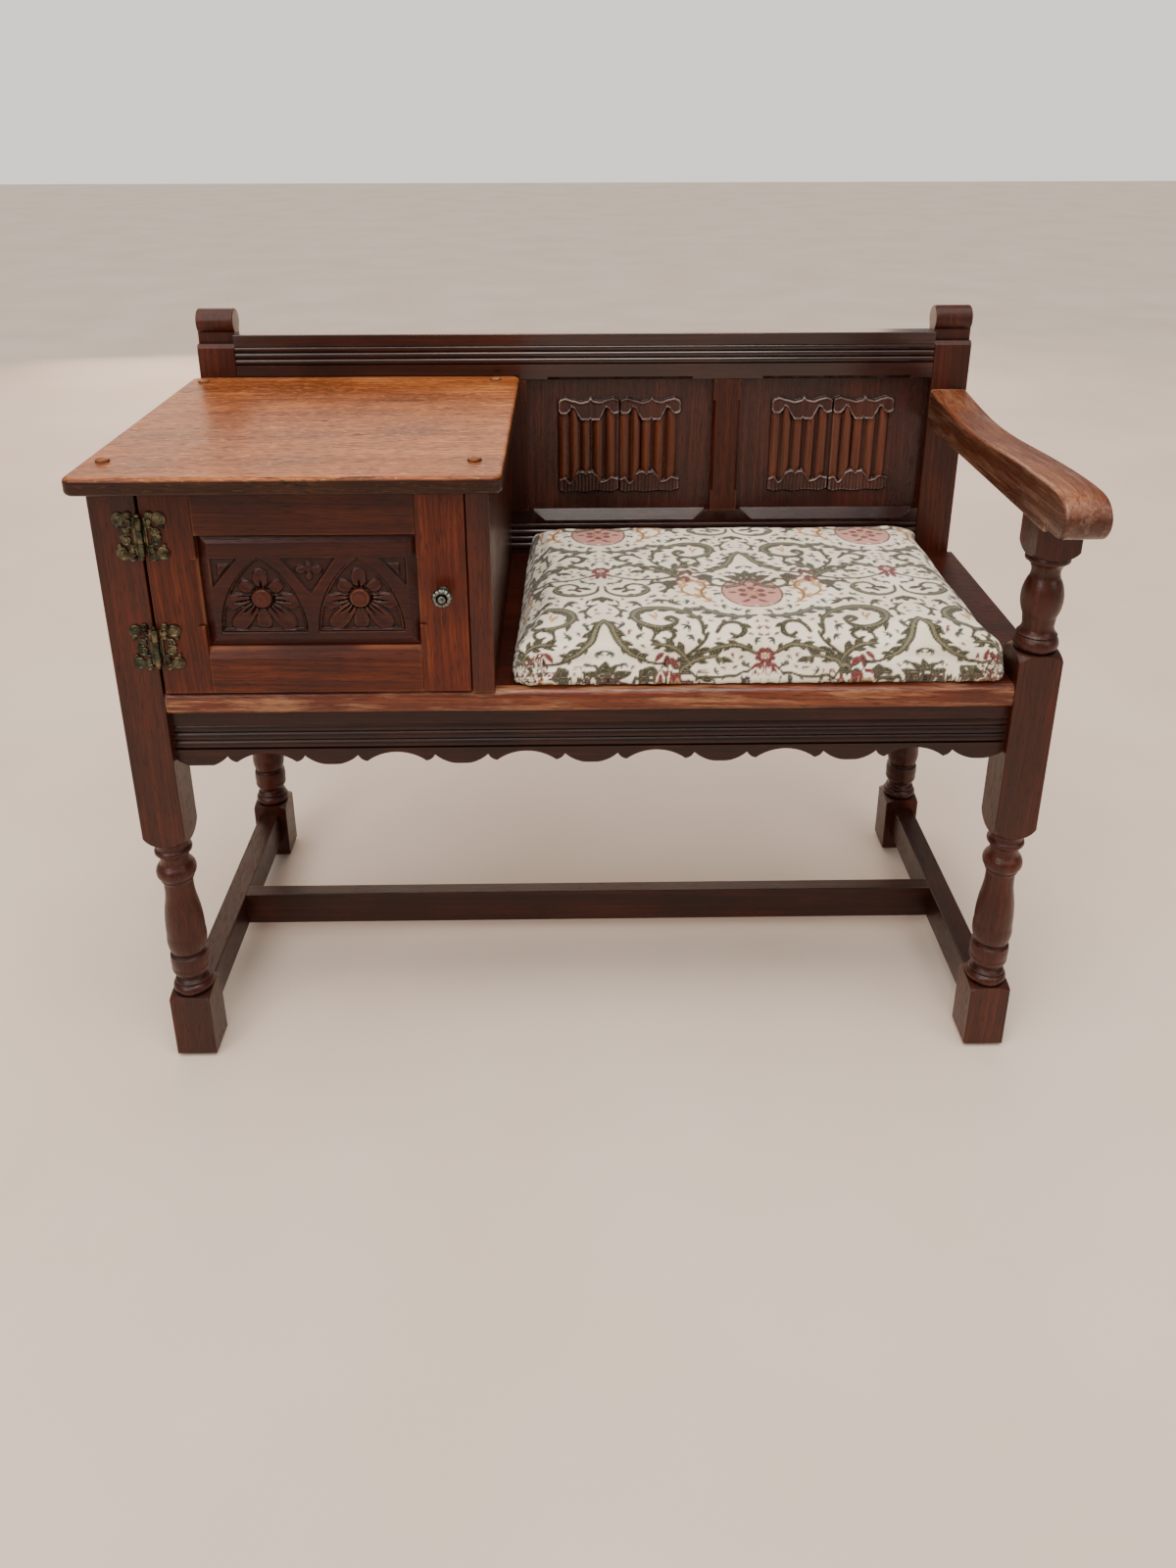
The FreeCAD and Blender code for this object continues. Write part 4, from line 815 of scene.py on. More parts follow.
class CarvedDoorPanel(ReliefBoard):
    """The door's fielded panel with two pointed arches, a flower in each."""

    FIELD = (206.0, 117.0)
    BEVEL = 9.0
    ARCHES = (-46.9, 46.5)      # middle of each arch, right of the panel's centre
    ARCH_HALF = 41.5
    ARCH_FOOT = -43.0
    ARCH_HEAD = 35.5
    BAND = 2.8
    # Petals as (middle angle, half width in degrees, reach in mm), and cuts as (angle, reach).
    PETALS = ((90, 27, 31), (40, 27, 27), (-8, 25, 37), (-48, 22, 44), (-86, 20, 33))
    CUTS = ((90, 22), (72, 20), (55, 17), (24, 21), (6, 26), (-10, 31), (-24, 33), (-38, 31),
            (-54, 27), (-72, 20))
    BOSS_UP = -7.5
    GRID = (0.206, 0.117)       # the finely gridded part of the board, in metres
    SUNK = 2.0 * MM             # depth of its field behind the board's foremost face

    def carve(self, across: np.ndarray, up: np.ndarray) -> tuple[np.ndarray, np.ndarray]:
        """Shape the bevelled border, the sunk arches and spandrels, and the flowers.

        Args:
            across: distance right of the centre, in mm.
            up: distance above the centre, in mm.

        Returns:
            Height in front of the field, in mm; share of bare wood.
        """
        half_w, half_h = self.FIELD[0] / 2, self.FIELD[1] / 2
        edge = np.minimum(half_w - np.abs(across), half_h - np.abs(up))
        slope = np.clip((edge - 1.0) / (self.BEVEL - 1.0), 0, 1)
        stand = np.where(edge < self.BEVEL, -4.2 + 3.8 * slope, 0.0)
        bare = np.zeros_like(stand)
        for middle in self.ARCHES:
            side = across - middle
            sunk, line = self.arch(side, up)
            petals, knob = self.flower(side, up)
            stand = np.where(sunk > 0, stand * (1 - sunk) + petals * sunk, stand)
            stand -= 2.0 * line
            bare = np.maximum(bare, 0.8 * knob + 0.35 * sunk * smooth((petals + 2.2) / 1.2))
        stand -= self.spandrels(across, up)
        return stand, bare

    def arch(self, side: np.ndarray, up: np.ndarray) -> tuple[np.ndarray, np.ndarray]:
        """Find the inside of a pointed arch and the cut line round it.

        Args:
            side: distance right of the arch's middle, in mm.
            up: distance above the panel's centre, in mm.

        Returns:
            How far inside the arch (0 to 1), and how near its outline (0 to 1).
        """
        # Each side is struck from a point beyond the opposite foot, so the head is pointed.
        reach = self.ARCH_HEAD - self.ARCH_FOOT
        strike = (reach ** 2 + self.ARCH_HALF ** 2) / (2 * self.ARCH_HALF)
        rise = np.clip(up - self.ARCH_FOOT, 0.0, reach)
        half = np.sqrt(strike ** 2 - rise ** 2) - (strike - self.ARCH_HALF)
        gap = np.minimum(half - np.abs(side), up - self.ARCH_FOOT)
        gap = np.where(up > self.ARCH_HEAD, -5.0, gap)
        # A flat band is left between the outer cut line and the sunk ground.
        return smooth((gap - self.BAND) / 1.6 + 0.5), smooth(1.0 - np.abs(gap - 0.6) / 1.2)

    def flower(self, side: np.ndarray, up: np.ndarray) -> tuple[np.ndarray, np.ndarray]:
        """Shape the petals, the cuts between them and the boss in one arch.

        Args:
            side: distance right of the arch's middle, in mm.
            up: distance above the panel's centre, in mm.

        Returns:
            Height against the field, in mm, and where the boss is.
        """
        rise = up - self.BOSS_UP
        far = np.hypot(side, rise)
        turn = np.degrees(np.arctan2(rise, np.abs(side)))      # -90 straight down, 90 straight up
        stand = np.full_like(far, -3.2)
        for angle, spread, reach in self.PETALS:
            away = np.abs(turn - angle) / spread
            limit = reach * np.maximum(1.0 - away ** 2.6, 0.0) ** 0.6
            body = smooth((limit - far) / 2.6)
            # Each petal is hollowed along its middle and rolls down towards its tip.
            hollow = smooth(1.0 - away * 1.6) * smooth(far / reach * 1.6)
            dome = -1.0 - 0.9 * hollow + 0.3 * far / reach
            stand = np.maximum(stand, -3.2 + (dome + 3.2) * body)
        for angle, end in self.CUTS:
            off = far * np.sin(np.radians(turn - angle))
            run = smooth((far - 9.0) / 2) * smooth((end - far) / 9.0)
            width = 1.9 - 0.9 * np.clip(far / end, 0, 1)
            stand -= 2.6 * smooth(1.0 - np.abs(off) / width) * run * (np.abs(turn - angle) < 60)
        ring = smooth((9.8 - far) / 1.4 + 0.5)
        knob = 1.4 - 0.9 * smooth(1.0 - np.abs(far - 6.6) / 1.2) - 0.5 * smooth(1.0 - far / 3.2)
        knob -= 1.3 * smooth((far - 7.8) / 2.0)
        moat = 1.5 * smooth(1.0 - np.abs(far - 11.0) / 1.7)
        return (stand - moat) * (1 - ring) + knob * ring, ring

    @staticmethod
    def spandrels(across: np.ndarray, up: np.ndarray) -> np.ndarray:
        """Cut the three triangles above and between the arches.

        Args:
            across: distance right of the panel's centre, in mm.
            up: distance above the panel's centre, in mm.

        Returns:
            Depth of the cut, in mm.
        """
        side = np.abs(across + 0.2)
        top = 33.5
        # The middle triangle points down, with three small leaves left standing in it.
        gap = np.minimum((25.5 - (top - up) * 0.70 - side) * 0.82, top - up)
        middle = smooth(gap / 1.3 + 0.5) * 3.0
        leaf_up = up - 22.0
        buds = np.min([np.hypot(side, (leaf_up - 2.0) * 0.8),
                       np.hypot(side * 0.8 - 6.2, leaf_up + 0.5),
                       np.hypot(side * 1.3, leaf_up + 7.0)], axis=0)
        leaf = smooth((4.8 - buds) / 1.8)
        middle *= 1 - 0.85 * leaf * smooth(gap / 1.6)
        # Each corner triangle has a smaller one left standing on its long side.
        inward = 92.0 - side
        reach = 25.0 - inward - (top - up) * 0.86
        corner = smooth(np.minimum(np.minimum(inward, top - up), reach * 0.75) / 1.3 + 0.5)
        inner = np.minimum(np.minimum(inward - 6.0, top - 6.0 - up), reach * 0.75 - 2.0)
        corner -= 0.8 * smooth(inner / 1.3 + 0.5)
        return middle + corner * 2.8 * (side > 40)


@dataclass
class FlutedKnob:
    """The door's cast knob: a waisted stem, a fluted dish and a button in a dark ring."""

    centre: Vector
    base_y: float
    radius: float = 10 * MM
    length: float = 21.2 * MM
    flutes: int = 14
    flute_depth: float = 0.8 * MM
    segments: int = 112

    # Half outline as (share of the radius, share of the length), from the door to the button.
    PROFILE = ((0.0, 0.0), (0.62, 0.0), (0.66, 0.05), (0.52, 0.14), (0.44, 0.26), (0.48, 0.40),
               (0.70, 0.52), (0.93, 0.60), (1.0, 0.68), (0.985, 0.75), (0.90, 0.81), (0.78, 0.85),
               (0.66, 0.87), (0.56, 0.855), (0.50, 0.81), (0.46, 0.79), (0.42, 0.81), (0.40, 0.90),
               (0.36, 0.95), (0.26, 0.985), (0.12, 1.0), (0.0, 1.0))
    FLUTED = 0.58               # share of the radius beyond which the dish is fluted

    def build(self, material: bpy.types.Material) -> None:
        """Turn the knob, flute its dish and put it on the door.

        Args:
            material: the metal.
        """
        bm = bmesh.new()
        verts = [bm.verts.new(self.centre + Vector((out * self.radius, self.base_y - self.centre.y
                                                    - along * self.length, 0.0)))
                 for out, along in self.PROFILE]
        edges = [bm.edges.new(pair) for pair in zip(verts, verts[1:])]
        bmesh.ops.subdivide_edges(bm, edges=edges, cuts=1)
        bmesh.ops.spin(bm, geom=list(bm.verts) + list(bm.edges), cent=self.centre, axis=(0, 1, 0),
                       angle=math.tau, steps=self.segments, use_merge=True)
        bmesh.ops.remove_doubles(bm, verts=bm.verts, dist=MERGE)
        bmesh.ops.recalc_face_normals(bm, faces=bm.faces)
        for vert in bm.verts:
            off = vert.co - self.centre
            out = math.hypot(off.x, off.z) / self.radius
            along = (self.base_y - vert.co.y) / self.length
            if out > self.FLUTED and along > 0.5:
                wave = 0.5 - 0.5 * math.cos(self.flutes * math.atan2(off.z, off.x))
                vert.co.y += self.flute_depth * wave * min(1.0, (out - self.FLUTED) * 6)
                shrink = 1.0 - 0.035 * wave * max(0.0, (out - 0.8) * 5)
                vert.co.x = self.centre.x + off.x * shrink
                vert.co.z = self.centre.z + off.z * shrink
        fit_piece(finish_mesh("fluted_pewter_knob", bm, 60.0), material, "door", "door_knob")


@dataclass
class ScrollHinge:
    """One butterfly hinge: two pierced and embossed brass leaves and a barrel of knuckles."""

    name: str
    centre_z: float
    pin_x: float
    pin_y: float
    plate_y: float
    half_width: float = 26 * MM
    half_height: float = 25 * MM
    knuckle: float = 3.0 * MM
    barrel: float = 38 * MM
    thick: float = 1.2 * MM
    lift: float = 1.5 * MM          # of the leaf's face above the wood
    gap: float = 0.4 * MM           # between two knuckles
    rounding: float = 0.5 * MM      # of a knuckle's rims
    step: float = 0.5 * MM

    # Scrolls and holes of a leaf as (distance from the pin, height, radius), in mm. The leaf is
    # the same above and below.
    SCROLLS = ((18.4, 17.0, 6.9), (9.6, 21.2, 4.0), (13.6, 4.4, 4.9), (8.6, 11.0, 3.4),
               (20.6, 9.2, 2.2))
    STRAP = 6.6
    HOLES = ((12.6, 12.4, 2.0), (7.4, 16.4, 1.3))

    def relief(self, reach: np.ndarray, up: np.ndarray) -> tuple[np.ndarray, np.ndarray]:
        """Describe a leaf's outline and its embossing.

        Args:
            reach: distance from the pin's line, in mm.
            up: height above the hinge's middle, in mm.

        Returns:
            Distance inside the outline, in mm, and the height of the embossing, in mm.
        """
        up = np.abs(up)
        inside = np.minimum(self.STRAP - reach, 18.6 - up)
        stand = 0.35 * smooth(1.0 - np.abs(reach - 5.2) / 1.4)
        for x, z, radius in self.SCROLLS:
            far = np.hypot(reach - x, up - z)
            inside = np.maximum(inside, radius - far)
            rings = 1.1 * smooth(1.0 - np.abs(far - radius * 0.72) / 1.15)
            dome = 1.0 * smooth(1.0 - far / (radius * 0.42))
            stand = np.maximum(stand, np.where(far < radius, rings + dome, 0.0))
        for x, z, radius in self.HOLES:
            inside = np.minimum(inside, np.hypot(reach - x, up - z) - radius)
        return inside, stand

    def leaf(self, side: int, label: str) -> bpy.types.Object:
        """Shape one leaf with its knuckles.

        Args:
            side: -1 for the leaf on the leg, 1 for the leaf on the door.
            label: the new piece's name.

        Returns:
            The leaf.
        """
        bm = bmesh.new()
        middle = Vector((self.pin_x + side * self.half_width / 2, self.plate_y, self.centre_z))
        upright_grid(bm, middle, self.half_width, 2 * self.half_height, self.step)
        verts = list(bm.verts)
        places = np.array([v.co for v in verts])
        reach = np.abs(places[:, 0] - self.pin_x) / MM
        up = (places[:, 2] - self.centre_z) / MM
        inside, stand = self.relief(reach, up)
        for vert, out, rise in zip(verts, inside, stand):
            vert.co.y = self.plate_y - rise * MM * float(np.clip(out / 1.2, 0, 1))
        low, top = self.knuckle / MM + 0.2, self.barrel / MM / 2
        near = (reach < low) & (np.abs(up) < top)
        outside = [v for v, out, tight in zip(verts, inside, near) if out < -0.15 or tight]
        bmesh.ops.delete(bm, geom=outside, context="VERTS")
        edge = [v for v in bm.verts if v.is_boundary]
        for _ in range(3):
            bmesh.ops.smooth_vert(bm, verts=edge, factor=0.5, use_axis_x=True, use_axis_z=True)
        front = list(bm.faces)
        rim = [e for e in bm.edges if e.is_boundary]
        walls = bmesh.ops.extrude_edge_only(bm, edges=rim)["geom"]
        backs = kept(bmesh.ops.duplicate(bm, geom=front)["geom"], bmesh.types.BMFace)
        for vert in [*kept(walls, bmesh.types.BMVert), *{v for face in backs for v in face.verts}]:
            vert.co.y = self.plate_y + self.thick
        bmesh.ops.reverse_faces(bm, faces=backs)
        bmesh.ops.remove_doubles(bm, verts=bm.verts, dist=0.02 * MM)
        bmesh.ops.recalc_face_normals(bm, faces=bm.faces)
        self.add_knuckles(bm, side)
        return finish_mesh(label, bm, 50.0)

    def add_knuckles(self, bm: bmesh.types.BMesh, side: int) -> None:
        """Add the barrel's rings that belong to one leaf, with a web to the leaf.

        Args:
            bm: the leaf so far.
            side: -1 for the leg's leaf, which has the two outer knuckles, 1 for the door's.
        """
        third = self.barrel / 3
        spans = ((-1.5, -0.5), (0.5, 1.5)) if side < 0 else ((-0.5, 0.5),)
        for low, high in spans:
            length = (high - low) * third - self.gap
            middle = Vector((self.pin_x, self.pin_y, self.centre_z + (low + high) / 2 * third))
            drum = bmesh.ops.create_cone(
                bm, cap_ends=True, cap_tris=False, segments=28, radius1=self.knuckle,
                radius2=self.knuckle, depth=length, matrix=Matrix.Translation(middle))["verts"]
            rims = [e for e in {e for v in drum for e in v.link_edges}
                    if abs(e.verts[0].co.z - e.verts[1].co.z) < 1e-6]
            bmesh.ops.bevel(bm, geom=rims, offset=self.rounding, segments=2, profile=0.5,
                            affect="EDGES", material=-1)
            web = bmesh.ops.create_cube(bm, size=1.0, matrix=Matrix.Translation(
                (self.pin_x + side * self.knuckle * 0.75, self.plate_y + 0.45 * MM, middle.z))
                @ Matrix.Diagonal((self.knuckle * 1.3, 1.4 * MM, length, 1.0)))["verts"]
            bmesh.ops.bevel(bm, geom=list({e for v in web for e in v.link_edges}), offset=0.2 * MM,
                            segments=1, profile=0.5, affect="EDGES", material=-1)

    def build(self, material: bpy.types.Material) -> None:
        """Make both leaves and put them on their bodies.

        Args:
            material: the finish of the leaves.
        """
        for side, half, body in ((-1, "leg", "root"), (1, "door", "door")):
            fit_piece(self.leaf(side, f"{self.name}_scroll_{half}_leaf"), material, body,
                      f"{self.name}_hinge_{half}_leaf")


@dataclass(frozen=True)
class Tapestry:
    """Jacquard-woven tapestry: cream cotton with scrolling leaves, flowers and cartouches.

    The eye gets a pattern in dull green, rose and ochre yarns with slightly broken
    edges, fine ribs across the cloth, and a dry, faintly fuzzy surface.
    """

    repeat: float = 319.0       # width of the pattern's repeat, in mm
    drop: float = 360.0         # its height; the next column is half of it lower
    cell: float = 0.5           # size of one drawn point, in mm
    weight: float = 1.25        # how much bolder the leaves are than their drawn lines
    ground: str = "#f6f0e2"
    olive: str = "#3f3d2c"
    sage: str = "#74735c"
    slate: str = "#3d4443"
    rose: str = "#6c2c32"
    blush: str = "#c79086"
    ochre: str = "#c3935c"
    umber: str = "#1f120e"

    def draw(self) -> np.ndarray:
        """Draw one repeat of the pattern.

        Returns:
            Linear colours by row (down the cloth) and column (across it).
        """
        rows, cols = round(self.drop / self.cell), round(self.repeat / self.cell)
        cloth = np.tile(np.array(linear(self.ground)[:3]), (rows, cols, 1))
        drawn = [(colour, self.print_layer(strokes)) for colour, strokes in self.layers()]
        busy = np.max([cover for _, cover in drawn], axis=0)
        sprigs = [(colour, self.fill_gaps(busy, clear, scale)) for colour, clear, scale in (
            (self.olive, 10.5, 1.0), (self.slate, 6.8, 0.62), (self.rose, 4.6, 0.36))]
        for colour, cover in sprigs + drawn:
            ink = np.array(linear(colour)[:3])
            cloth += (ink - cloth) * cover[:, :, None]
        return cloth

    def print_layer(self, strokes: list) -> np.ndarray:
        """Stamp strokes into one layer, mirrored and repeated half a drop lower.

        Args:
            strokes: points and radii of each stroke.

        Returns:
            The layer's coverage, 0 to 1.
        """
        cover = np.zeros((round(self.drop / self.cell), round(self.repeat / self.cell)))
        for points, radii in strokes:
            for shift, fall in ((0.0, 0.0), (self.repeat / 2, self.drop / 2)):
                for mirror in (-1, 1):
                    self.stamp(cover, [(mirror * x + shift, y + fall) for x, y in points], radii)
        return cover

    def fill_gaps(self, busy: np.ndarray, clear: float, scale: float) -> np.ndarray:
        """Set a small curled sprig wherever the ground is still bare.

        Args:
            busy: where the cloth is already patterned; the sprigs are added to it.
            clear: radius of bare ground that a sprig needs, in mm.
            scale: size of a sprig, 1 for the largest.

        Returns:
            The coverage of the new sprigs.
        """
        draw = random.Random(7)
        rows, cols = busy.shape
        added = np.zeros_like(busy)
        span = int(clear / self.cell)
        spots = [(x, y) for y in np.arange(2.0, self.drop / 2, 3.0)
                 for x in np.arange(clear + 0.5, self.repeat / 2 - clear, 3.0)]
        draw.shuffle(spots)
        for x, y in spots:
            col, row = int(x / self.cell), int(y / self.cell)
            place = np.ix_(np.arange(row - span, row + span) % rows,
                           np.arange(col - span, col + span) % cols)
            if busy[place].max() > 0.2:
                continue
            turn = draw.uniform(0, 360)
            heading, side = math.radians(turn), draw.choice((-1, 1))
            foot = (x - 7 * scale * math.cos(heading), y - 7 * scale * math.sin(heading))
            strokes = [self.leaf(*foot, turn - side * 40, 17 * scale, 3.4 * scale, side * 150)]
            strokes += [self.leaf(*foot, turn + side * bend, 11 * scale, 4.6 * scale, side * 40)
                        for bend in (10, 60, 120)]
            layer = self.print_layer(strokes)
            added = np.maximum(added, layer)
            np.maximum(busy, layer, out=busy)
        return added

    def stamp(self, cover: np.ndarray, points: list, radii: tuple) -> None:
        """Lay one tapered stroke into a layer, wrapping at the edges of the repeat.

        Args:
            cover: the layer's coverage, 0 to 1.
            points: the stroke's own points, in mm.
            radii: its half width at even places from start to end, in mm.
        """
        path = self.flow(points)
        gap = np.hypot(*np.diff(path, axis=0).T)
        along = np.concatenate([[0.0], np.cumsum(gap)])
        count = max(2, int(along[-1] / 0.7) + 1)
        steps = np.linspace(0, along[-1], count)
        xs, ys = np.interp(steps, along, path[:, 0]), np.interp(steps, along, path[:, 1])
        thick = np.interp(np.linspace(0, 1, count), np.linspace(0, 1, len(radii)), radii)
        rows, cols = cover.shape
        for x, y, radius in zip(xs, ys, thick):
            span = int(radius / self.cell) + 2
            col, row = x / self.cell, y / self.cell
            across = np.arange(int(col) - span, int(col) + span + 1)
            down = np.arange(int(row) - span, int(row) + span + 1)
            far = np.hypot(across[None, :] - col, down[:, None] - row) * self.cell
            mark = np.clip((radius - far) / self.cell + 0.5, 0, 1)
            place = np.ix_(down % rows, across % cols)
            cover[place] = np.maximum(cover[place], mark)

    @staticmethod
    def flow(points: list) -> np.ndarray:
        """Run a smooth curve through a stroke's points.

        Args:
            points: the points, in mm.

        Returns:
            Points along the curve.
        """
        if len(points) < 3:
            return np.array(points if len(points) == 2 else points * 2, float)
        knots = np.array([points[0], *points, points[-1]], float)
        part = np.linspace(0, 1, 8, endpoint=False)[:, None]
        curve = []
        for a, b, c, d in zip(knots, knots[1:], knots[2:], knots[3:]):
            curve.append(0.5 * (2 * b + (c - a) * part + (2 * a - 5 * b + 4 * c - d) * part ** 2
                                + (3 * b - a - 3 * c + d) * part ** 3))
        return np.vstack([*curve, knots[-1:]])

    @staticmethod
    def leaf(x: float, y: float, angle: float, length: float, width: float,
             curl: float = 25.0) -> tuple:
        """Return a curved, tapered leaf stroke.

        Args:
            x: start across, in mm.
            y: start down, in mm.
            angle: direction in degrees, 0 to the right and 90 down the cloth.
            length: its length, in mm.
            width: its greatest width, in mm.
            curl: how far it turns on the way, in degrees.

        Returns:
            The stroke's points and radii.
        """
        points = [(x, y)]
        for part in range(4):
            turn = math.radians(angle + curl * (part + 0.5) / 4)
            x, y = x + length / 4 * math.cos(turn), y + length / 4 * math.sin(turn)
            points.append((x, y))
        half = width / 2
        return points, (half * 0.4, half, half * 0.95, half * 0.6, 0.3)

    def frond(self, points: list, size: float, side: int, lobes: int) -> list:
        """Return leaf lobes that grow from a curved stem, as on an acanthus leaf.

        Args:
            points: the stem's points, in mm.
            size: length of the largest lobe, in mm.
            side: 1 for lobes on the right of the stem's direction, -1 for the left.
            lobes: how many there are.

        Returns:
            The lobes' strokes.
        """
        path = self.flow(points)
        strokes = []
        for k in range(lobes):
            spot = int((k + 0.6) / lobes * (len(path) - 2))
            (x, y), (ahead_x, ahead_y) = path[spot], path[spot + 1]
            heading = math.degrees(math.atan2(ahead_y - y, ahead_x - x))
            grow = size * (0.65 + 0.35 * math.sin(math.pi * (k + 0.5) / lobes))
            strokes.append(self.leaf(x, y, heading + side * 58, grow * 1.1, grow * 0.48,
                                     -side * 36))
        return strokes

    @staticmethod
    def petals(x: float, y: float, radius: float, size: float, count: int, start: float) -> list:
        """Return the round petals of a flower, each a dot of a stroke.

        Args:
            x: the flower's middle across, in mm.
            y: its middle down, in mm.
            radius: how far the petals' middles lie from it, in mm.
            size: half width of a petal, in mm.
            count: how many there are.
            start: direction of the first, in degrees.

        Returns:
            The petals' strokes.
        """
        turns = [math.radians(start + 360 * k / count) for k in range(count)]
        return [([(x + radius * math.cos(turn), y + radius * math.sin(turn))], (size, size))
                for turn in turns]

    def strokes(self, stems: tuple = (), fronds: tuple = (), leaves: tuple = (),
                flowers: tuple = ()) -> list:
        """Gather the strokes of one yarn.

        Args:
            stems: points and radii of plain strokes.
            fronds: what frond takes, once for each.
            leaves: what leaf takes.
            flowers: what petals takes.

        Returns:
            Points and radii of every stroke.
        """
        drawn = list(stems) + [self.leaf(*leaf) for leaf in leaves]
        for frond in fronds:
            drawn += self.frond(*frond)
        for flower in flowers:
            drawn += self.petals(*flower)
        return drawn

    def layers(self) -> list:
        """List the pattern's strokes by yarn, for the right half of one column.

        Returns:
            Colour and strokes of each layer, from the first woven to the last.
        """
        volute = [(99, 264), (97, 244), (84, 227), (62, 217), (42, 218), (31, 229), (32, 243),
                  (42, 254), (58, 258), (71, 252), (73, 243), (66, 239)]
        hook = [(3, 160), (6, 175), (20, 184), (37, 182), (49, 170), (45, 157), (33, 153),
                (25, 160), (28, 168), (34, 168)]
        foot = [(3, 312), (4, 328), (14, 341), (30, 344), (41, 336), (39, 326), (31, 323),
                (26, 330)]
        vee = [(0, 244), (9, 258), (15, 276), (26, 292), (40, 299)]
        sweep = [(26, 292), (48, 304), (74, 300), (96, 280), (104, 262)]
        wing = [(10, 112), (26, 102), (44, 104), (62, 112)]
        stem = [(8, 128), (30, 140), (58, 142), (84, 132), (97, 116)]
        swag = [(4, 56), (22, 58), (42, 50), (60, 38), (78, 42)]
        curl = [(48, 272), (52, 262), (62, 258), (70, 264), (66, 272), (59, 270)]
        spray = [(74, 128), (82, 112), (96, 102), (112, 100)]
        bough = [(70, 330), (78, 312), (92, 300), (110, 296), (118, 304)]
        frame = [(0, -37), (13, -35), (25, -25), (31, -9), (31, 8), (24, 24), (12, 34), (0, 36)]
        twig = [(6, 206), (14, 214), (18, 226), (12, 236)]
        plume = [(50, 156), (60, 150), (70, 156), (70, 168), (62, 174)]
        knot = [(112, 262), (122, 250), (134, 250), (140, 260), (134, 268), (127, 264)]
        sprig = [(42, 26), (52, 14), (54, -2), (48, -16), (54, -30), (66, -32)]
        shoot = [(52, 14), (64, 8), (74, -4), (72, -16)]
        dark = self.strokes(
            ((volute, (1.2, 2.2, 3.4, 3.8, 3.2, 2.2, 1.4)), (hook, (0.9, 1.8, 2.6, 2.2, 1.2, 1.6)),
             (foot, (1.4, 2.6, 2.8, 1.8, 1.2, 2.2)), (vee, (2.6, 3.4, 3.6, 2.8, 1.4)),
             (sweep, (1.5, 1.3, 1.3, 1.2, 1.0)), (wing, (1.2, 2.6, 2.4, 1.0)),
             (stem, (0.9, 1.2, 1.2, 1.6, 1.4)), (curl, (0.9, 1.5, 1.8, 1.2)),
             (spray, (1.0, 2.2, 2.6, 1.2)), (bough, (1.2, 2.4, 2.6, 1.6, 1.0)),
             (twig, (0.8, 1.4, 1.2, 0.8)), (plume, (1.0, 2.0, 2.0, 1.2)),
             (knot, (1.0, 2.0, 2.2, 1.6)),
             ([(73, 243), (68, 238), (63, 243), (68, 247)], (2.8, 2.4, 1.6))),
            ((volute[1:7], 13, -1, 7), (volute[5:9], 11, 1, 3), (volute[0:4], 9, 1, 4),
             (vee, 13, -1, 5), (vee[2:], 9, 1, 2), (wing, 11, -1, 4), (wing, 8, 1, 3),
             (hook[2:6], 8, -1, 3), (foot[2:6], 9, 1, 3), (spray, 14, -1, 4), (spray, 11, 1, 3),
             (bough, 15, -1, 5), (bough, 10, 1, 3), (sweep[2:], 9, -1, 3), (stem[1:4], 7, 1, 3),
             (twig, 9, -1, 3), (plume, 10, -1, 4), (knot, 9, -1, 3), (curl, 6, -1, 3)),
            ((12, 168, -30, 16, 5), (22, 174, -50, 12, 4), (8, 330, -60, 22, 6, 40),
             (14, 336, -40, 18, 5, 40), (0, 188, 90, 13, 6, 0), (2, 190, 35, 13, 5),
             (2, 192, 5, 11, 4), (0, -44, -90, 15, 7, 0), (3, -42, -60, 16, 6, 20),
             (8, -40, -30, 16, 5, 25), (18, -40, -50, 9, 4, 30), (70, 150, 30, 14, 5, -40)),
            ((46, 318, 5.2, 4.0, 5, -90), (84, 334, 4.6, 3.6, 5, 90)))
        garland = self.strokes(
            ((swag, (1.5, 2.6, 2.8, 1.8, 1.2)),), ((swag, 12, 1, 6), (swag, 8, -1, 5)))
        warm = self.strokes(
            ((sprig, (1.2, 2.2, 2.4, 2.0, 1.4)), (shoot, (1.0, 1.8, 1.6, 1.0))),
            ((sprig, 12, 1, 6), (sprig, 10, -1, 5), (shoot, 9, 1, 4)),
            flowers=((67, -32, 4.4, 3.2, 5, 0), (72, -20, 3.6, 2.6, 5, 36)))
        light = self.strokes((
            (volute[1:9], (0.5, 1.0, 1.5, 1.6, 1.1, 0.6)), (hook[1:7], (0.5, 1.0, 0.9, 0.4)),
            (vee, (1.0, 1.5, 1.6, 1.2, 0.5)), (foot[1:5], (0.8, 1.2, 0.9, 0.5)),
            (wing, (0.4, 1.2, 1.1, 0.4)), (spray, (0.4, 1.0, 1.2, 0.5)),
            (bough, (0.4, 1.1, 1.2, 0.6)), (swag, (0.4, 1.1, 1.2, 0.5))))
        wash = self.strokes((
            ([(7, -26), (7, 26)], (9, 9)), ([(18, -18), (18, 18)], (10, 10)),
            ([(23, -6), (23, 6)], (8, 8))))
        reds = self.strokes(
            ((frame, (1.1, 1.1)),),
            leaves=((2, 126, 75, 14, 6, 10), (5, 125, 45, 13, 5, 10), (96, 116, 70, 17, 7, 30),
                    (92, 118, 110, 15, 6, 20), (101, 112, 40, 14, 6, 30),
                    (66, 316, 100, 18, 7, -30), (72, 318, 70, 16, 6, -30), (60, 314, 130, 14, 5),
                    (4, -17, -60, 13, 5, 50), (5, 17, 60, 13, 5, -50), (17, 0, 0, 9, 5, 0)),
            flowers=((0, 116, 7.4, 3.6, 8, 22.5), (0, 0, 11.5, 4.6, 6, 30)))
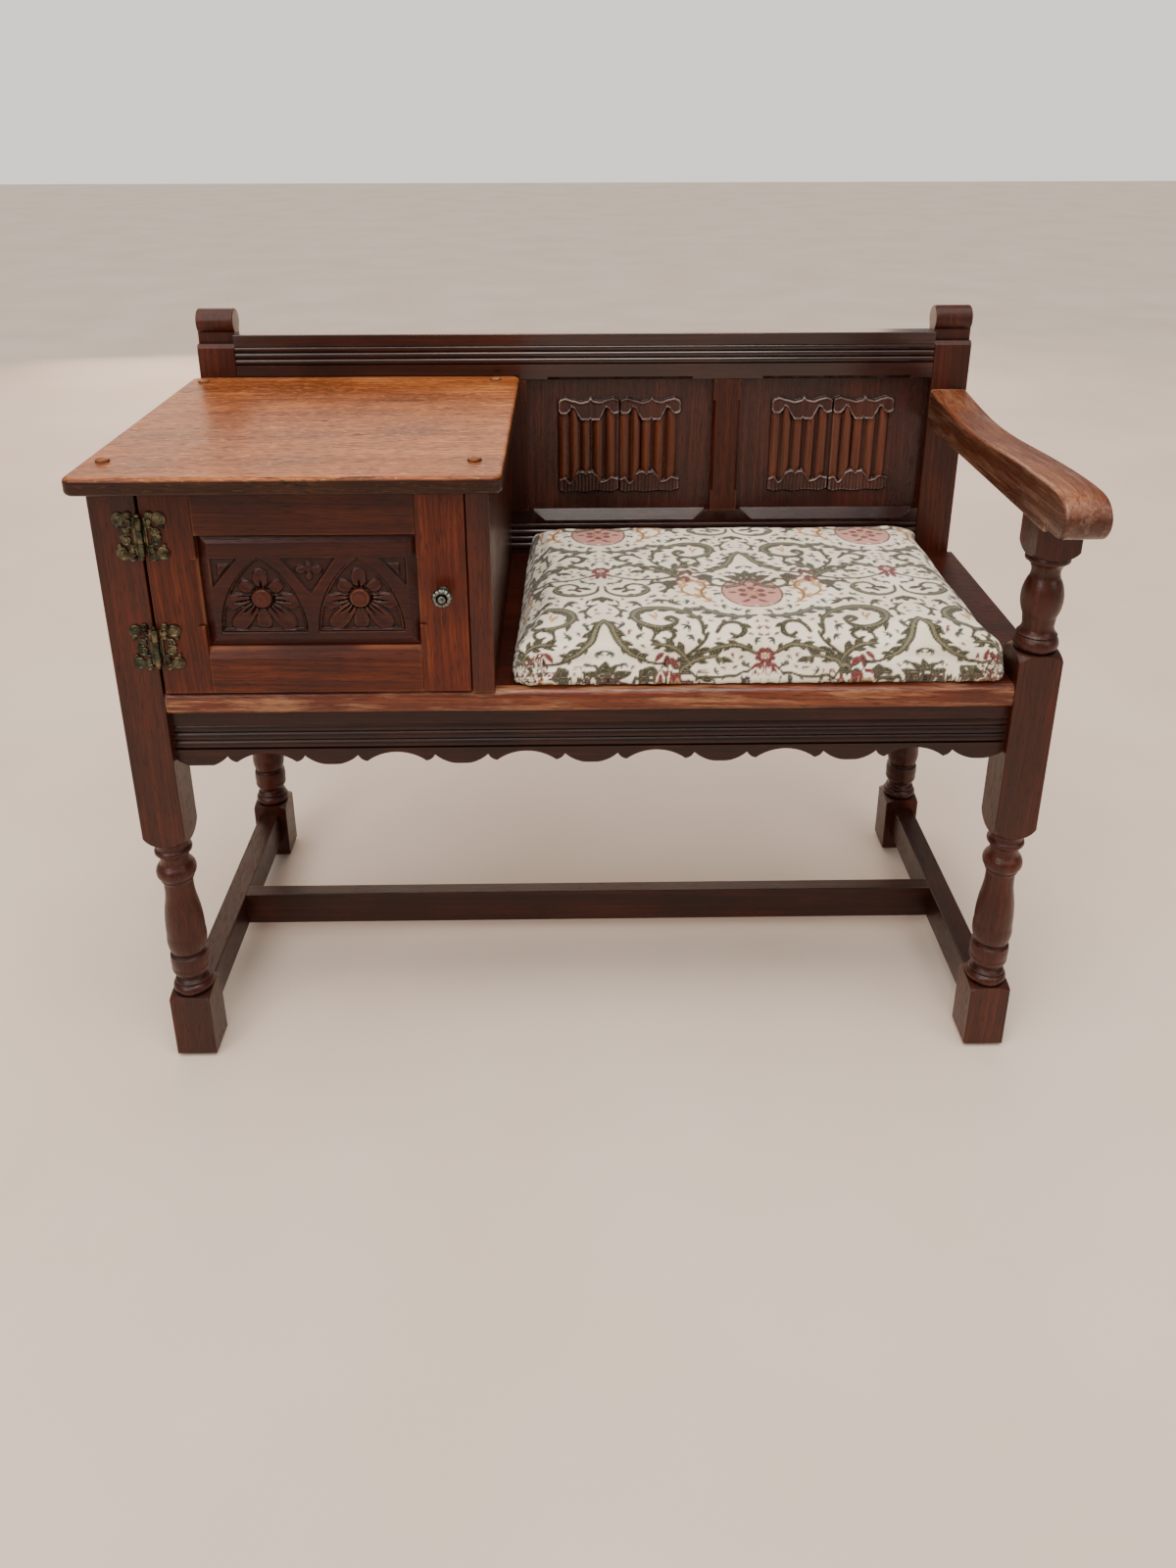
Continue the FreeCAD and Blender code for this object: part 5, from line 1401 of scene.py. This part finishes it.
        golds = self.strokes(
            leaves=((46, 232, 40, 16, 4, 50), (52, 228, 60, 14, 3, 50)),
            flowers=((0, 116, 0.1, 2.6, 1, 0), (0, 0, 0.1, 5.0, 1, 0)))
        browns = self.strokes(
            ((frame, (0.5, 0.5)), ([(0, -38), (0, -26)], (0.9, 0.9)),
             ([(97, 118), (100, 128), (96, 136)], (1.0, 1.0, 0.6)),
             (sprig, (0.4, 0.8, 0.8, 0.5)), (shoot, (0.4, 0.7, 0.4))),
            leaves=((14, 196, 60, 12, 3, 30),),
            flowers=((0, 0, 5.2, 1.1, 8, 0), (0, 116, 3.6, 0.8, 6, 0), (46, 318, 0.1, 1.6, 1, 0),
                     (67, -32, 0.1, 1.4, 1, 0)))
        bold, vines = ([(points, tuple(self.weight * radius for radius in radii))
                        for points, radii in layer] for layer in (dark, garland))
        # A painted shadow: a dark copy of the leaves, shifted below and to the right.
        shade = [([(x + 0.7, y + 0.9) for x, y in points], radii) for points, radii in bold + vines]
        return [(self.blush, wash), (self.umber, shade), (self.olive, bold), (self.slate, vines),
                (self.ochre, warm), (self.sage, light), (self.rose, reds), (self.ochre, golds),
                (self.umber, browns)]

    def material(self) -> bpy.types.Material:
        """Make the woven material, which reads the pad's own "yarn" and "flat" attributes.

        Returns:
            The material.
        """
        material, tree, shader = new_material("jacquard_tapestry")
        yarn = add_node(tree, "Attribute", {}, "Color", attribute_name="yarn")
        flat = add_node(tree, "Attribute", {}, "Vector", attribute_name="flat")
        # Ribs lie across the cloth; real ones are 0.7 mm apart and are drawn 1.5 mm apart.
        ribs = add_node(tree, "TexWave", {
            "Vector": flat, "Scale": ONE_WAVE / (1.5 * MM), "Distortion": 1.2, "Detail": 1.0,
            "Detail Scale": 0.6}, "Fac",
            wave_type="BANDS", bands_direction="Y", wave_profile="SIN")
        # Marks as width across and down the cloth in mm, and the detail of their noise.
        slubs, flecks, warp, dirt = (add_node(tree, "TexNoise", {
            "Vector": add_node(tree, "Mapping", {
                "Vector": flat, "Scale": (1 / (across * MM), 1 / (down * MM), 1.0)}),
            "Scale": 1.0, "Detail": detail}) for across, down, detail in (
                (6.0, 1.5, 2.0), (1.3, 1.3, 1.0), (1.6, 1.0, 1.0), (70, 70, 3.0)))
        level = 0.70
        for part, share in ((flecks, 0.34), (slubs, 0.16), (ribs, 0.10)):
            level = add_node(tree, "Math", {0: part, 1: share, 2: level}, operation="MULTIPLY_ADD")
        shade = add_node(tree, "CombineColor", {"Red": level, "Green": level, "Blue": level})
        # Undyed warp threads show through here and there, and soften the woven colours.
        grin = add_node(tree, "ValToRGB", {"Fac": warp}, stops=((0.56, 0.0), (0.70, 0.28)))
        soil = add_node(tree, "ValToRGB", {"Fac": dirt}, stops=(
            (0.35, "#fffdf8"), (0.7, "#ece4d8")))
        colour = yarn
        for share, coat, blend in ((1.0, shade, "MULTIPLY"), (grin, self.ground, "MIX"),
                                   (1.0, soil, "MULTIPLY")):
            colour = add_node(tree, "Mix", {MIX_FACTOR: share, MIX_A: colour, MIX_B: coat},
                              MIX_RESULT, data_type="RGBA", blend_type=blend)
        height = slubs
        for part, share in ((ribs, 0.6), (flecks, 0.8)):
            height = add_node(tree, "Math", {0: part, 1: share, 2: height},
                              operation="MULTIPLY_ADD")
        set_inputs(tree, shader, {
            "Base Color": colour, "Roughness": 0.9, "Specular IOR Level": 0.25,
            "Sheen Weight": 0.25, "Sheen Roughness": 0.5,
            "Normal": add_node(tree, "Bump", {
                "Height": height, "Distance": 0.35 * MM, "Strength": 0.6})})
        return material


def points_of(piece: bpy.types.Object) -> np.ndarray:
    """Read a piece's points, one row each."""
    return np.array([v.co for v in piece.data.vertices])


def move_points(piece: bpy.types.Object, points: np.ndarray) -> None:
    """Put a piece's points in new places."""
    piece.data.vertices.foreach_set("co", points.ravel())
    piece.data.update()


@dataclass
class SeatPad:
    """The stuffed drop-in pad: a thin crowned cushion in tapestry, pulled tight over its board."""

    inset: float = 2.0 * MM
    margin: float = 1.0 * MM        # kept free round the stuffed cover
    voxel: float = 5 * MM
    reach: float = 9 * MM           # the furthest that the stuffing may push a point
    pressure: float = 3.0
    frames: int = 20
    dome: float = 5.0 * MM          # how much the stuffing raises the middle
    settle: float = 1.0 * MM        # how much the whole top has sunk
    pull: float = 2.6 * MM          # how far the sides draw in between the corners
    tuck: float = 3.5 * MM          # how far the cover turns under the board
    axis_x: float = 13.5 * MM       # the pattern's mirror line, in the bench's frame
    motif_y: float = 112.5 * MM     # middle of the rear cartouche
    wrap: float = 9 * MM            # depth below the top at which the cloth starts to hang

    def __post_init__(self) -> None:
        """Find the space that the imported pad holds."""
        self.low, self.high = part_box("seat_pad")
        self.middle = (self.low + self.high) / 2
        self.half = (self.high - self.low) / 2

    def build(self, weave: Tapestry) -> None:
        """Shape, stuff, paint and dress the pad.

        Args:
            weave: the cloth of the cover.
        """
        pad = self.blank()
        self.stuff(pad)
        self.fill_out(pad)
        self.crown(pad)
        self.refine(pad)
        self.pucker(pad)
        self.paint(pad, weave)
        fit_piece(pad, weave.material(), "root", "seat_pad")

    def blank(self) -> bpy.types.Object:
        """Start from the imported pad's outline, a little smaller, remeshed evenly.

        Returns:
            The pad before it is stuffed.
        """
        low, high, middle = self.low, self.high, self.middle
        bm = bmesh.new()
        bm.from_mesh(bpy.data.objects["seat_pad"].data)
        bmesh.ops.remove_doubles(bm, verts=bm.verts, dist=MERGE)
        shrink = [1 - 2 * self.inset / (high[i] - low[i]) for i in range(2)]
        height = (high.z - low.z - self.inset) / (high.z - low.z)
        for vert in bm.verts:
            vert.co.x = middle.x + (vert.co.x - middle.x) * shrink[0]
            vert.co.y = middle.y + (vert.co.y - middle.y) * shrink[1]
            vert.co.z = low.z + (vert.co.z - low.z) * height
        pad = finish_mesh("tapestry_seat_pad", bm, 180.0)
        remesh = pad.modifiers.new("even mesh", "REMESH")
        remesh.mode = "VOXEL"
        remesh.voxel_size = self.voxel
        remesh.use_smooth_shade = True
        self.apply(pad)
        return pad

    @staticmethod
    def apply(pad: bpy.types.Object) -> None:
        """Bake every modifier of a piece into its mesh and remove them.

        Args:
            pad: the piece.
        """
        graph = bpy.context.evaluated_depsgraph_get()
        mesh = bpy.data.meshes.new_from_object(pad.evaluated_get(graph))
        pad.modifiers.clear()
        old, pad.data = pad.data, mesh
        bpy.data.meshes.remove(old)

    def stuff(self, pad: bpy.types.Object) -> None:
        """Let the stuffing push the cover out from inside, held where it meets the seat.

        Args:
            pad: the remeshed pad.
        """
        start = points_of(pad)
        held = pad.vertex_groups.new(name="held")
        low_points = np.flatnonzero(start[:, 2] < start[:, 2].min() + 5 * MM)
        held.add(low_points.tolist(), 1.0, "REPLACE")
        cover = pad.modifiers.new("stuffing", "CLOTH").settings
        cover.quality = 6
        cover.mass = 0.25
        cover.tension_stiffness = cover.compression_stiffness = 12.0
        cover.shear_stiffness = 5.0
        cover.bending_stiffness = 0.8
        cover.use_pressure = True
        cover.uniform_pressure_force = self.pressure
        cover.effector_weights.gravity = 0.0
        cover.vertex_group_mass = "held"
        scene = bpy.context.scene
        for frame in range(1, self.frames + 1):
            scene.frame_set(frame)
        moved = points_of(pad.evaluated_get(bpy.context.evaluated_depsgraph_get())) - start
        length = np.linalg.norm(moved, axis=1, keepdims=True)
        moved *= np.minimum(1.0, self.reach / np.maximum(length, 1e-9))
        pad.modifiers.clear()
        pad.vertex_groups.clear()
        move_points(pad, start + moved)
        scene.frame_set(1)

    def fill_out(self, pad: bpy.types.Object) -> None:
        """Bring the stuffed cover back to the full width and depth of its space.

        Args:
            pad: the stuffed pad.
        """
        co = points_of(pad)
        for axis in range(2):
            first, last = co[:, axis].min(), co[:, axis].max()
            near = self.low[axis] + self.margin
            span = self.high[axis] - self.low[axis] - 2 * self.margin
            co[:, axis] = near + (co[:, axis] - first) / (last - first) * span
        move_points(pad, co)

    def crown(self, pad: bpy.types.Object) -> None:
        """Raise the middle, draw the sides in between the corners and keep it in its space.

        Args:
            pad: the pad so far.
        """
        low, high = self.low, self.high
        co = points_of(pad)
        across = (co[:, 0] - self.middle.x) / self.half.x
        along = (co[:, 1] - self.middle.y) / self.half.y
        rise = np.clip((co[:, 2] - low.z) / (high.z - low.z), 0, 1)
        mid_across, mid_along = np.clip(1 - across ** 2, 0, 1), np.clip(1 - along ** 2, 0, 1)
        co[:, 2] += rise * ((mid_across * mid_along) ** 0.55 * self.dome - self.settle)
        pull = self.pull * np.sin(math.pi * rise)
        # The cover tucks in where it turns under the board, and rests flat on the seat.
        tuck = self.tuck * smooth(1 - rise / 0.16)
        for axis, share, mid in ((0, across, mid_along), (1, along, mid_across)):
            near_edge = np.sign(share) * smooth(np.abs(share) * 4 - 3)
            co[:, axis] -= near_edge * (pull * mid + tuck)
        co[:, 2] = np.maximum(co[:, 2], low.z + 0.3 * MM)
        move_points(pad, co)

    def refine(self, pad: bpy.types.Object) -> None:
        """Subdivide the pad twice, so that the pattern's finest strokes fit on its mesh.

        Args:
            pad: the crowned pad.
        """
        finer = pad.modifiers.new("finer", "SUBSURF")
        finer.levels = finer.render_levels = 2
        self.apply(pad)

    def pucker(self, pad: bpy.types.Object) -> None:
        """Add the small pulls along the lower edges and the gathers at the corners.

        Args:
            pad: the subdivided pad.
        """
        low, high, half = self.low, self.high, self.half
        co = points_of(pad)
        normal = np.array([v.normal for v in pad.data.vertices])
        across, along = (co[:, 0] - self.middle.x), (co[:, 1] - self.middle.y)
        rise = np.clip((co[:, 2] - low.z) / (high.z - low.z), 0, 1.2)
        side = np.hypot(normal[:, 0], normal[:, 1])
        run = np.where(np.abs(normal[:, 1]) > np.abs(normal[:, 0]), across, along) / MM
        gathers = np.sin(run * 0.33 + 2.0 * np.sin(run * 0.071)) * np.sin(run * 0.052 + 1.0)
        corner = smooth((np.abs(across) / half.x + np.abs(along) / half.y - 1.62) / 0.3)
        turn = np.arctan2(normal[:, 1], normal[:, 0])
        depth = 0.9 * gathers * smooth((0.62 - rise) / 0.5)
        depth += 1.1 * corner * np.sin(turn * 22) * smooth((0.85 - rise) / 0.6)
        lumps = np.sin(across / MM * 0.047 + 0.6) * np.sin(along / MM * 0.041 + 1.1)
        swell = 0.8 * lumps * smooth(rise * 1.4 - 0.3)
        move_points(pad, co + normal * ((depth * side + swell) * MM)[:, None])

    def paint(self, pad: bpy.types.Object, weave: Tapestry) -> None:
        """Wrap the pattern over the pad and store it with the cloth's flat directions.

        Args:
            pad: the shaped pad.
            weave: the cloth of the cover.
        """
        mesh = pad.data
        co = points_of(pad)
        normal = np.array([v.normal for v in mesh.vertices])
        lean = np.hypot(normal[:, 0], normal[:, 1])
        drop = np.maximum(co[:, 2].max() - self.wrap - co[:, 2], 0.0) * (lean > 0.2)
        flat_x, flat_y = (co[:, axis] + normal[:, axis] / np.maximum(lean, 1e-6) * drop
                          for axis in range(2))
        cloth = weave.draw()
        rows, cols, _ = cloth.shape
        col = ((flat_x - self.axis_x) / MM / weave.cell) % cols
        row = ((self.motif_y - flat_y) / MM / weave.cell) % rows
        c0, r0 = col.astype(int), row.astype(int)
        fx, fy = (col - c0)[:, None], (row - r0)[:, None]
        c0, r0, c1, r1 = c0 % cols, r0 % rows, (c0 + 1) % cols, (r0 + 1) % rows
        shade = ((cloth[r0, c0] * (1 - fx) + cloth[r0, c1] * fx) * (1 - fy)
                 + (cloth[r1, c0] * (1 - fx) + cloth[r1, c1] * fx) * fy)
        for name, kind, field, columns in (
                ("yarn", "FLOAT_COLOR", "color", [shade, np.ones(len(co))]),
                ("flat", "FLOAT_VECTOR", "vector", [flat_x, flat_y, flat_x * 0])):
            values = np.column_stack(columns).astype(np.float32).ravel()
            mesh.attributes.new(name, kind, "POINT").data.foreach_set(field, values)


@dataclass
class Studio:
    """The plain floor, the soft light and the camera."""

    floor_half: float = 14.0
    eye: tuple[float, float, float] = (-0.017, -1.2025, 1.006)
    yaw: float = 0.80           # degrees to the right of straight on
    pitch: float = -21.22
    roll: float = -0.115
    lens: float = 26.775
    sensor: float = 36.0
    drop: float = -0.15
    backdrop: float = 1.25
    daylight: float = 0.3
    sky_spread: float = 75.0    # degrees
    sky_strength: float = 2.6

    # Soft square lights: place and target in metres, side in metres, power in watts, colour.
    LAMPS = {
        "front_left_softbox": ((-1.9, -2.4, 2.1), (-0.1, 0.0, 0.5), 1.5, 38.0, "#fff6ec"),
        "front_right_softbox": ((2.2, -1.8, 1.8), (0.2, 0.0, 0.5), 1.4, 15.0, "#fff6ec"),
        "rear_softbox": ((-0.4, 3.2, 1.7), (0.0, 0.0, 0.5), 3.4, 70.0, "#ffdcc0"),
        "overhead_softbox": ((0.1, -0.75, 2.3), (0.05, 0.1, 0.5), 0.9, 20.0, "#fff6ec"),
    }

    def build(self) -> None:
        """Lay the floor, hang the lights and place the camera."""
        bm = bmesh.new()
        bmesh.ops.create_grid(bm, x_segments=8, y_segments=8, size=self.floor_half)
        floor = finish_mesh("studio_floor", bm)
        dress(floor, FLOOR.material())
        world = bpy.data.worlds.new("soft_daylight")
        world.use_nodes = True
        # The eye sees a pale backdrop, while what lights the bench from it is dimmer.
        tree = world.node_tree
        seen = add_node(tree, "LightPath", {}, "Is Camera Ray")
        set_inputs(tree, tree.nodes["Background"], {
            "Color": "#fdf8f4", "Strength": add_node(
                tree, "Math", {0: seen, 1: self.backdrop - self.daylight, 2: self.daylight},
                operation="MULTIPLY_ADD")})
        bpy.context.scene.world = world
        # A very broad soft light overhead also lights the far floor evenly.
        sky = self.hang("broad_skylight", "SUN", self.sky_strength, "#fff8f0")
        sky.data.angle = math.radians(self.sky_spread)
        sky.rotation_euler = (math.radians(12), math.radians(-8), 0.0)
        for name, (place, target, size, watts, colour) in self.LAMPS.items():
            lamp = self.hang(name, "AREA", watts, colour)
            lamp.data.size = size
            lamp.visible_camera = False
            lamp.location = place
            towards = Vector(target) - Vector(place)
            lamp.rotation_euler = towards.to_track_quat("-Z", "Y").to_euler()
        self.camera()
        LOG.info("studio: floor, sky, %d lamps and the camera", len(self.LAMPS))

    @staticmethod
    def hang(name: str, kind: str, energy: float, colour: str) -> bpy.types.Object:
        """Hang one light.

        Args:
            name: the light's name.
            kind: Blender's name for its kind.
            energy: its power in watts, or its strength if it is a sun.
            colour: the colour of its light.

        Returns:
            The light's object.
        """
        light = bpy.data.lights.new(name, kind)
        light.energy = energy
        light.color = linear(colour)[:3]
        lamp = bpy.data.objects.new(name, light)
        bpy.context.scene.collection.objects.link(lamp)
        return lamp

    def camera(self) -> None:
        """Stand the camera in front of the bench, looking slightly down."""
        optics = bpy.data.cameras.new("camera")
        optics.sensor_fit = "AUTO"
        optics.sensor_width = self.sensor
        optics.lens = self.lens
        optics.shift_y = self.drop
        camera = bpy.data.objects.new("camera", optics)
        camera.location = self.eye
        turn = (Matrix.Rotation(-math.radians(self.yaw), 4, "Z")
                @ Matrix.Rotation(math.pi / 2 + math.radians(self.pitch), 4, "X")
                @ Matrix.Rotation(math.radians(self.roll), 4, "Z"))
        camera.rotation_euler = turn.to_euler()
        bpy.context.scene.collection.objects.link(camera)
        bpy.context.scene.camera = camera


def build_carvings() -> None:
    """Carve the two linenfold panels and the door's panel."""
    for side in ("left", "right"):
        node = f"{side}_linenfold_panel"
        low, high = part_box(node)
        LinenfoldPanel(
            f"{side}_linenfold_carving", node, centre_of(node).x, LinenfoldPanel.MIDDLE_Z,
            *LinenfoldPanel.GRID, low.y + LinenfoldPanel.SUNK, high.y).build(
                "root", LINEN_OAK, Grain.ALONG_Z)
    node = "door_carved_panel"
    low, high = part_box(node)
    middle = centre_of(node)
    CarvedDoorPanel(
        "door_arch_carving", node, middle.x, middle.z, *CarvedDoorPanel.GRID,
        low.y + CarvedDoorPanel.SUNK, high.y).build("door", PANEL_OAK, Grain.ALONG_X)


def build_hardware() -> None:
    """Make the two brass hinges and the pewter knob."""
    brass = BRASS.material()
    for name in ("upper", "lower"):
        low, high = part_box(f"{name}_hinge_leg_leaf")
        door_low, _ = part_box(f"{name}_hinge_door_leaf")
        ScrollHinge(name, (low.z + high.z) / 2, (high.x + door_low.x) / 2,
                    low.y + ScrollHinge.knuckle, high.y - ScrollHinge.lift).build(brass)
    _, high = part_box("door_knob")
    FlutedKnob(centre_of("door_knob"), high.y).build(PEWTER.material())


def main() -> None:
    """Build the bench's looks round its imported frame."""
    logging.basicConfig(level=logging.INFO, format="%(name)s: %(message)s")
    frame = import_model()
    Studio().build()
    bench = BenchFrame(frame["nodes"])
    bench.dress_members()
    bench.dress_fittings()
    build_carvings()
    build_hardware()
    SeatPad().build(Tapestry())
    LOG.info("sizes written")


if __name__ == "__main__":
    main()
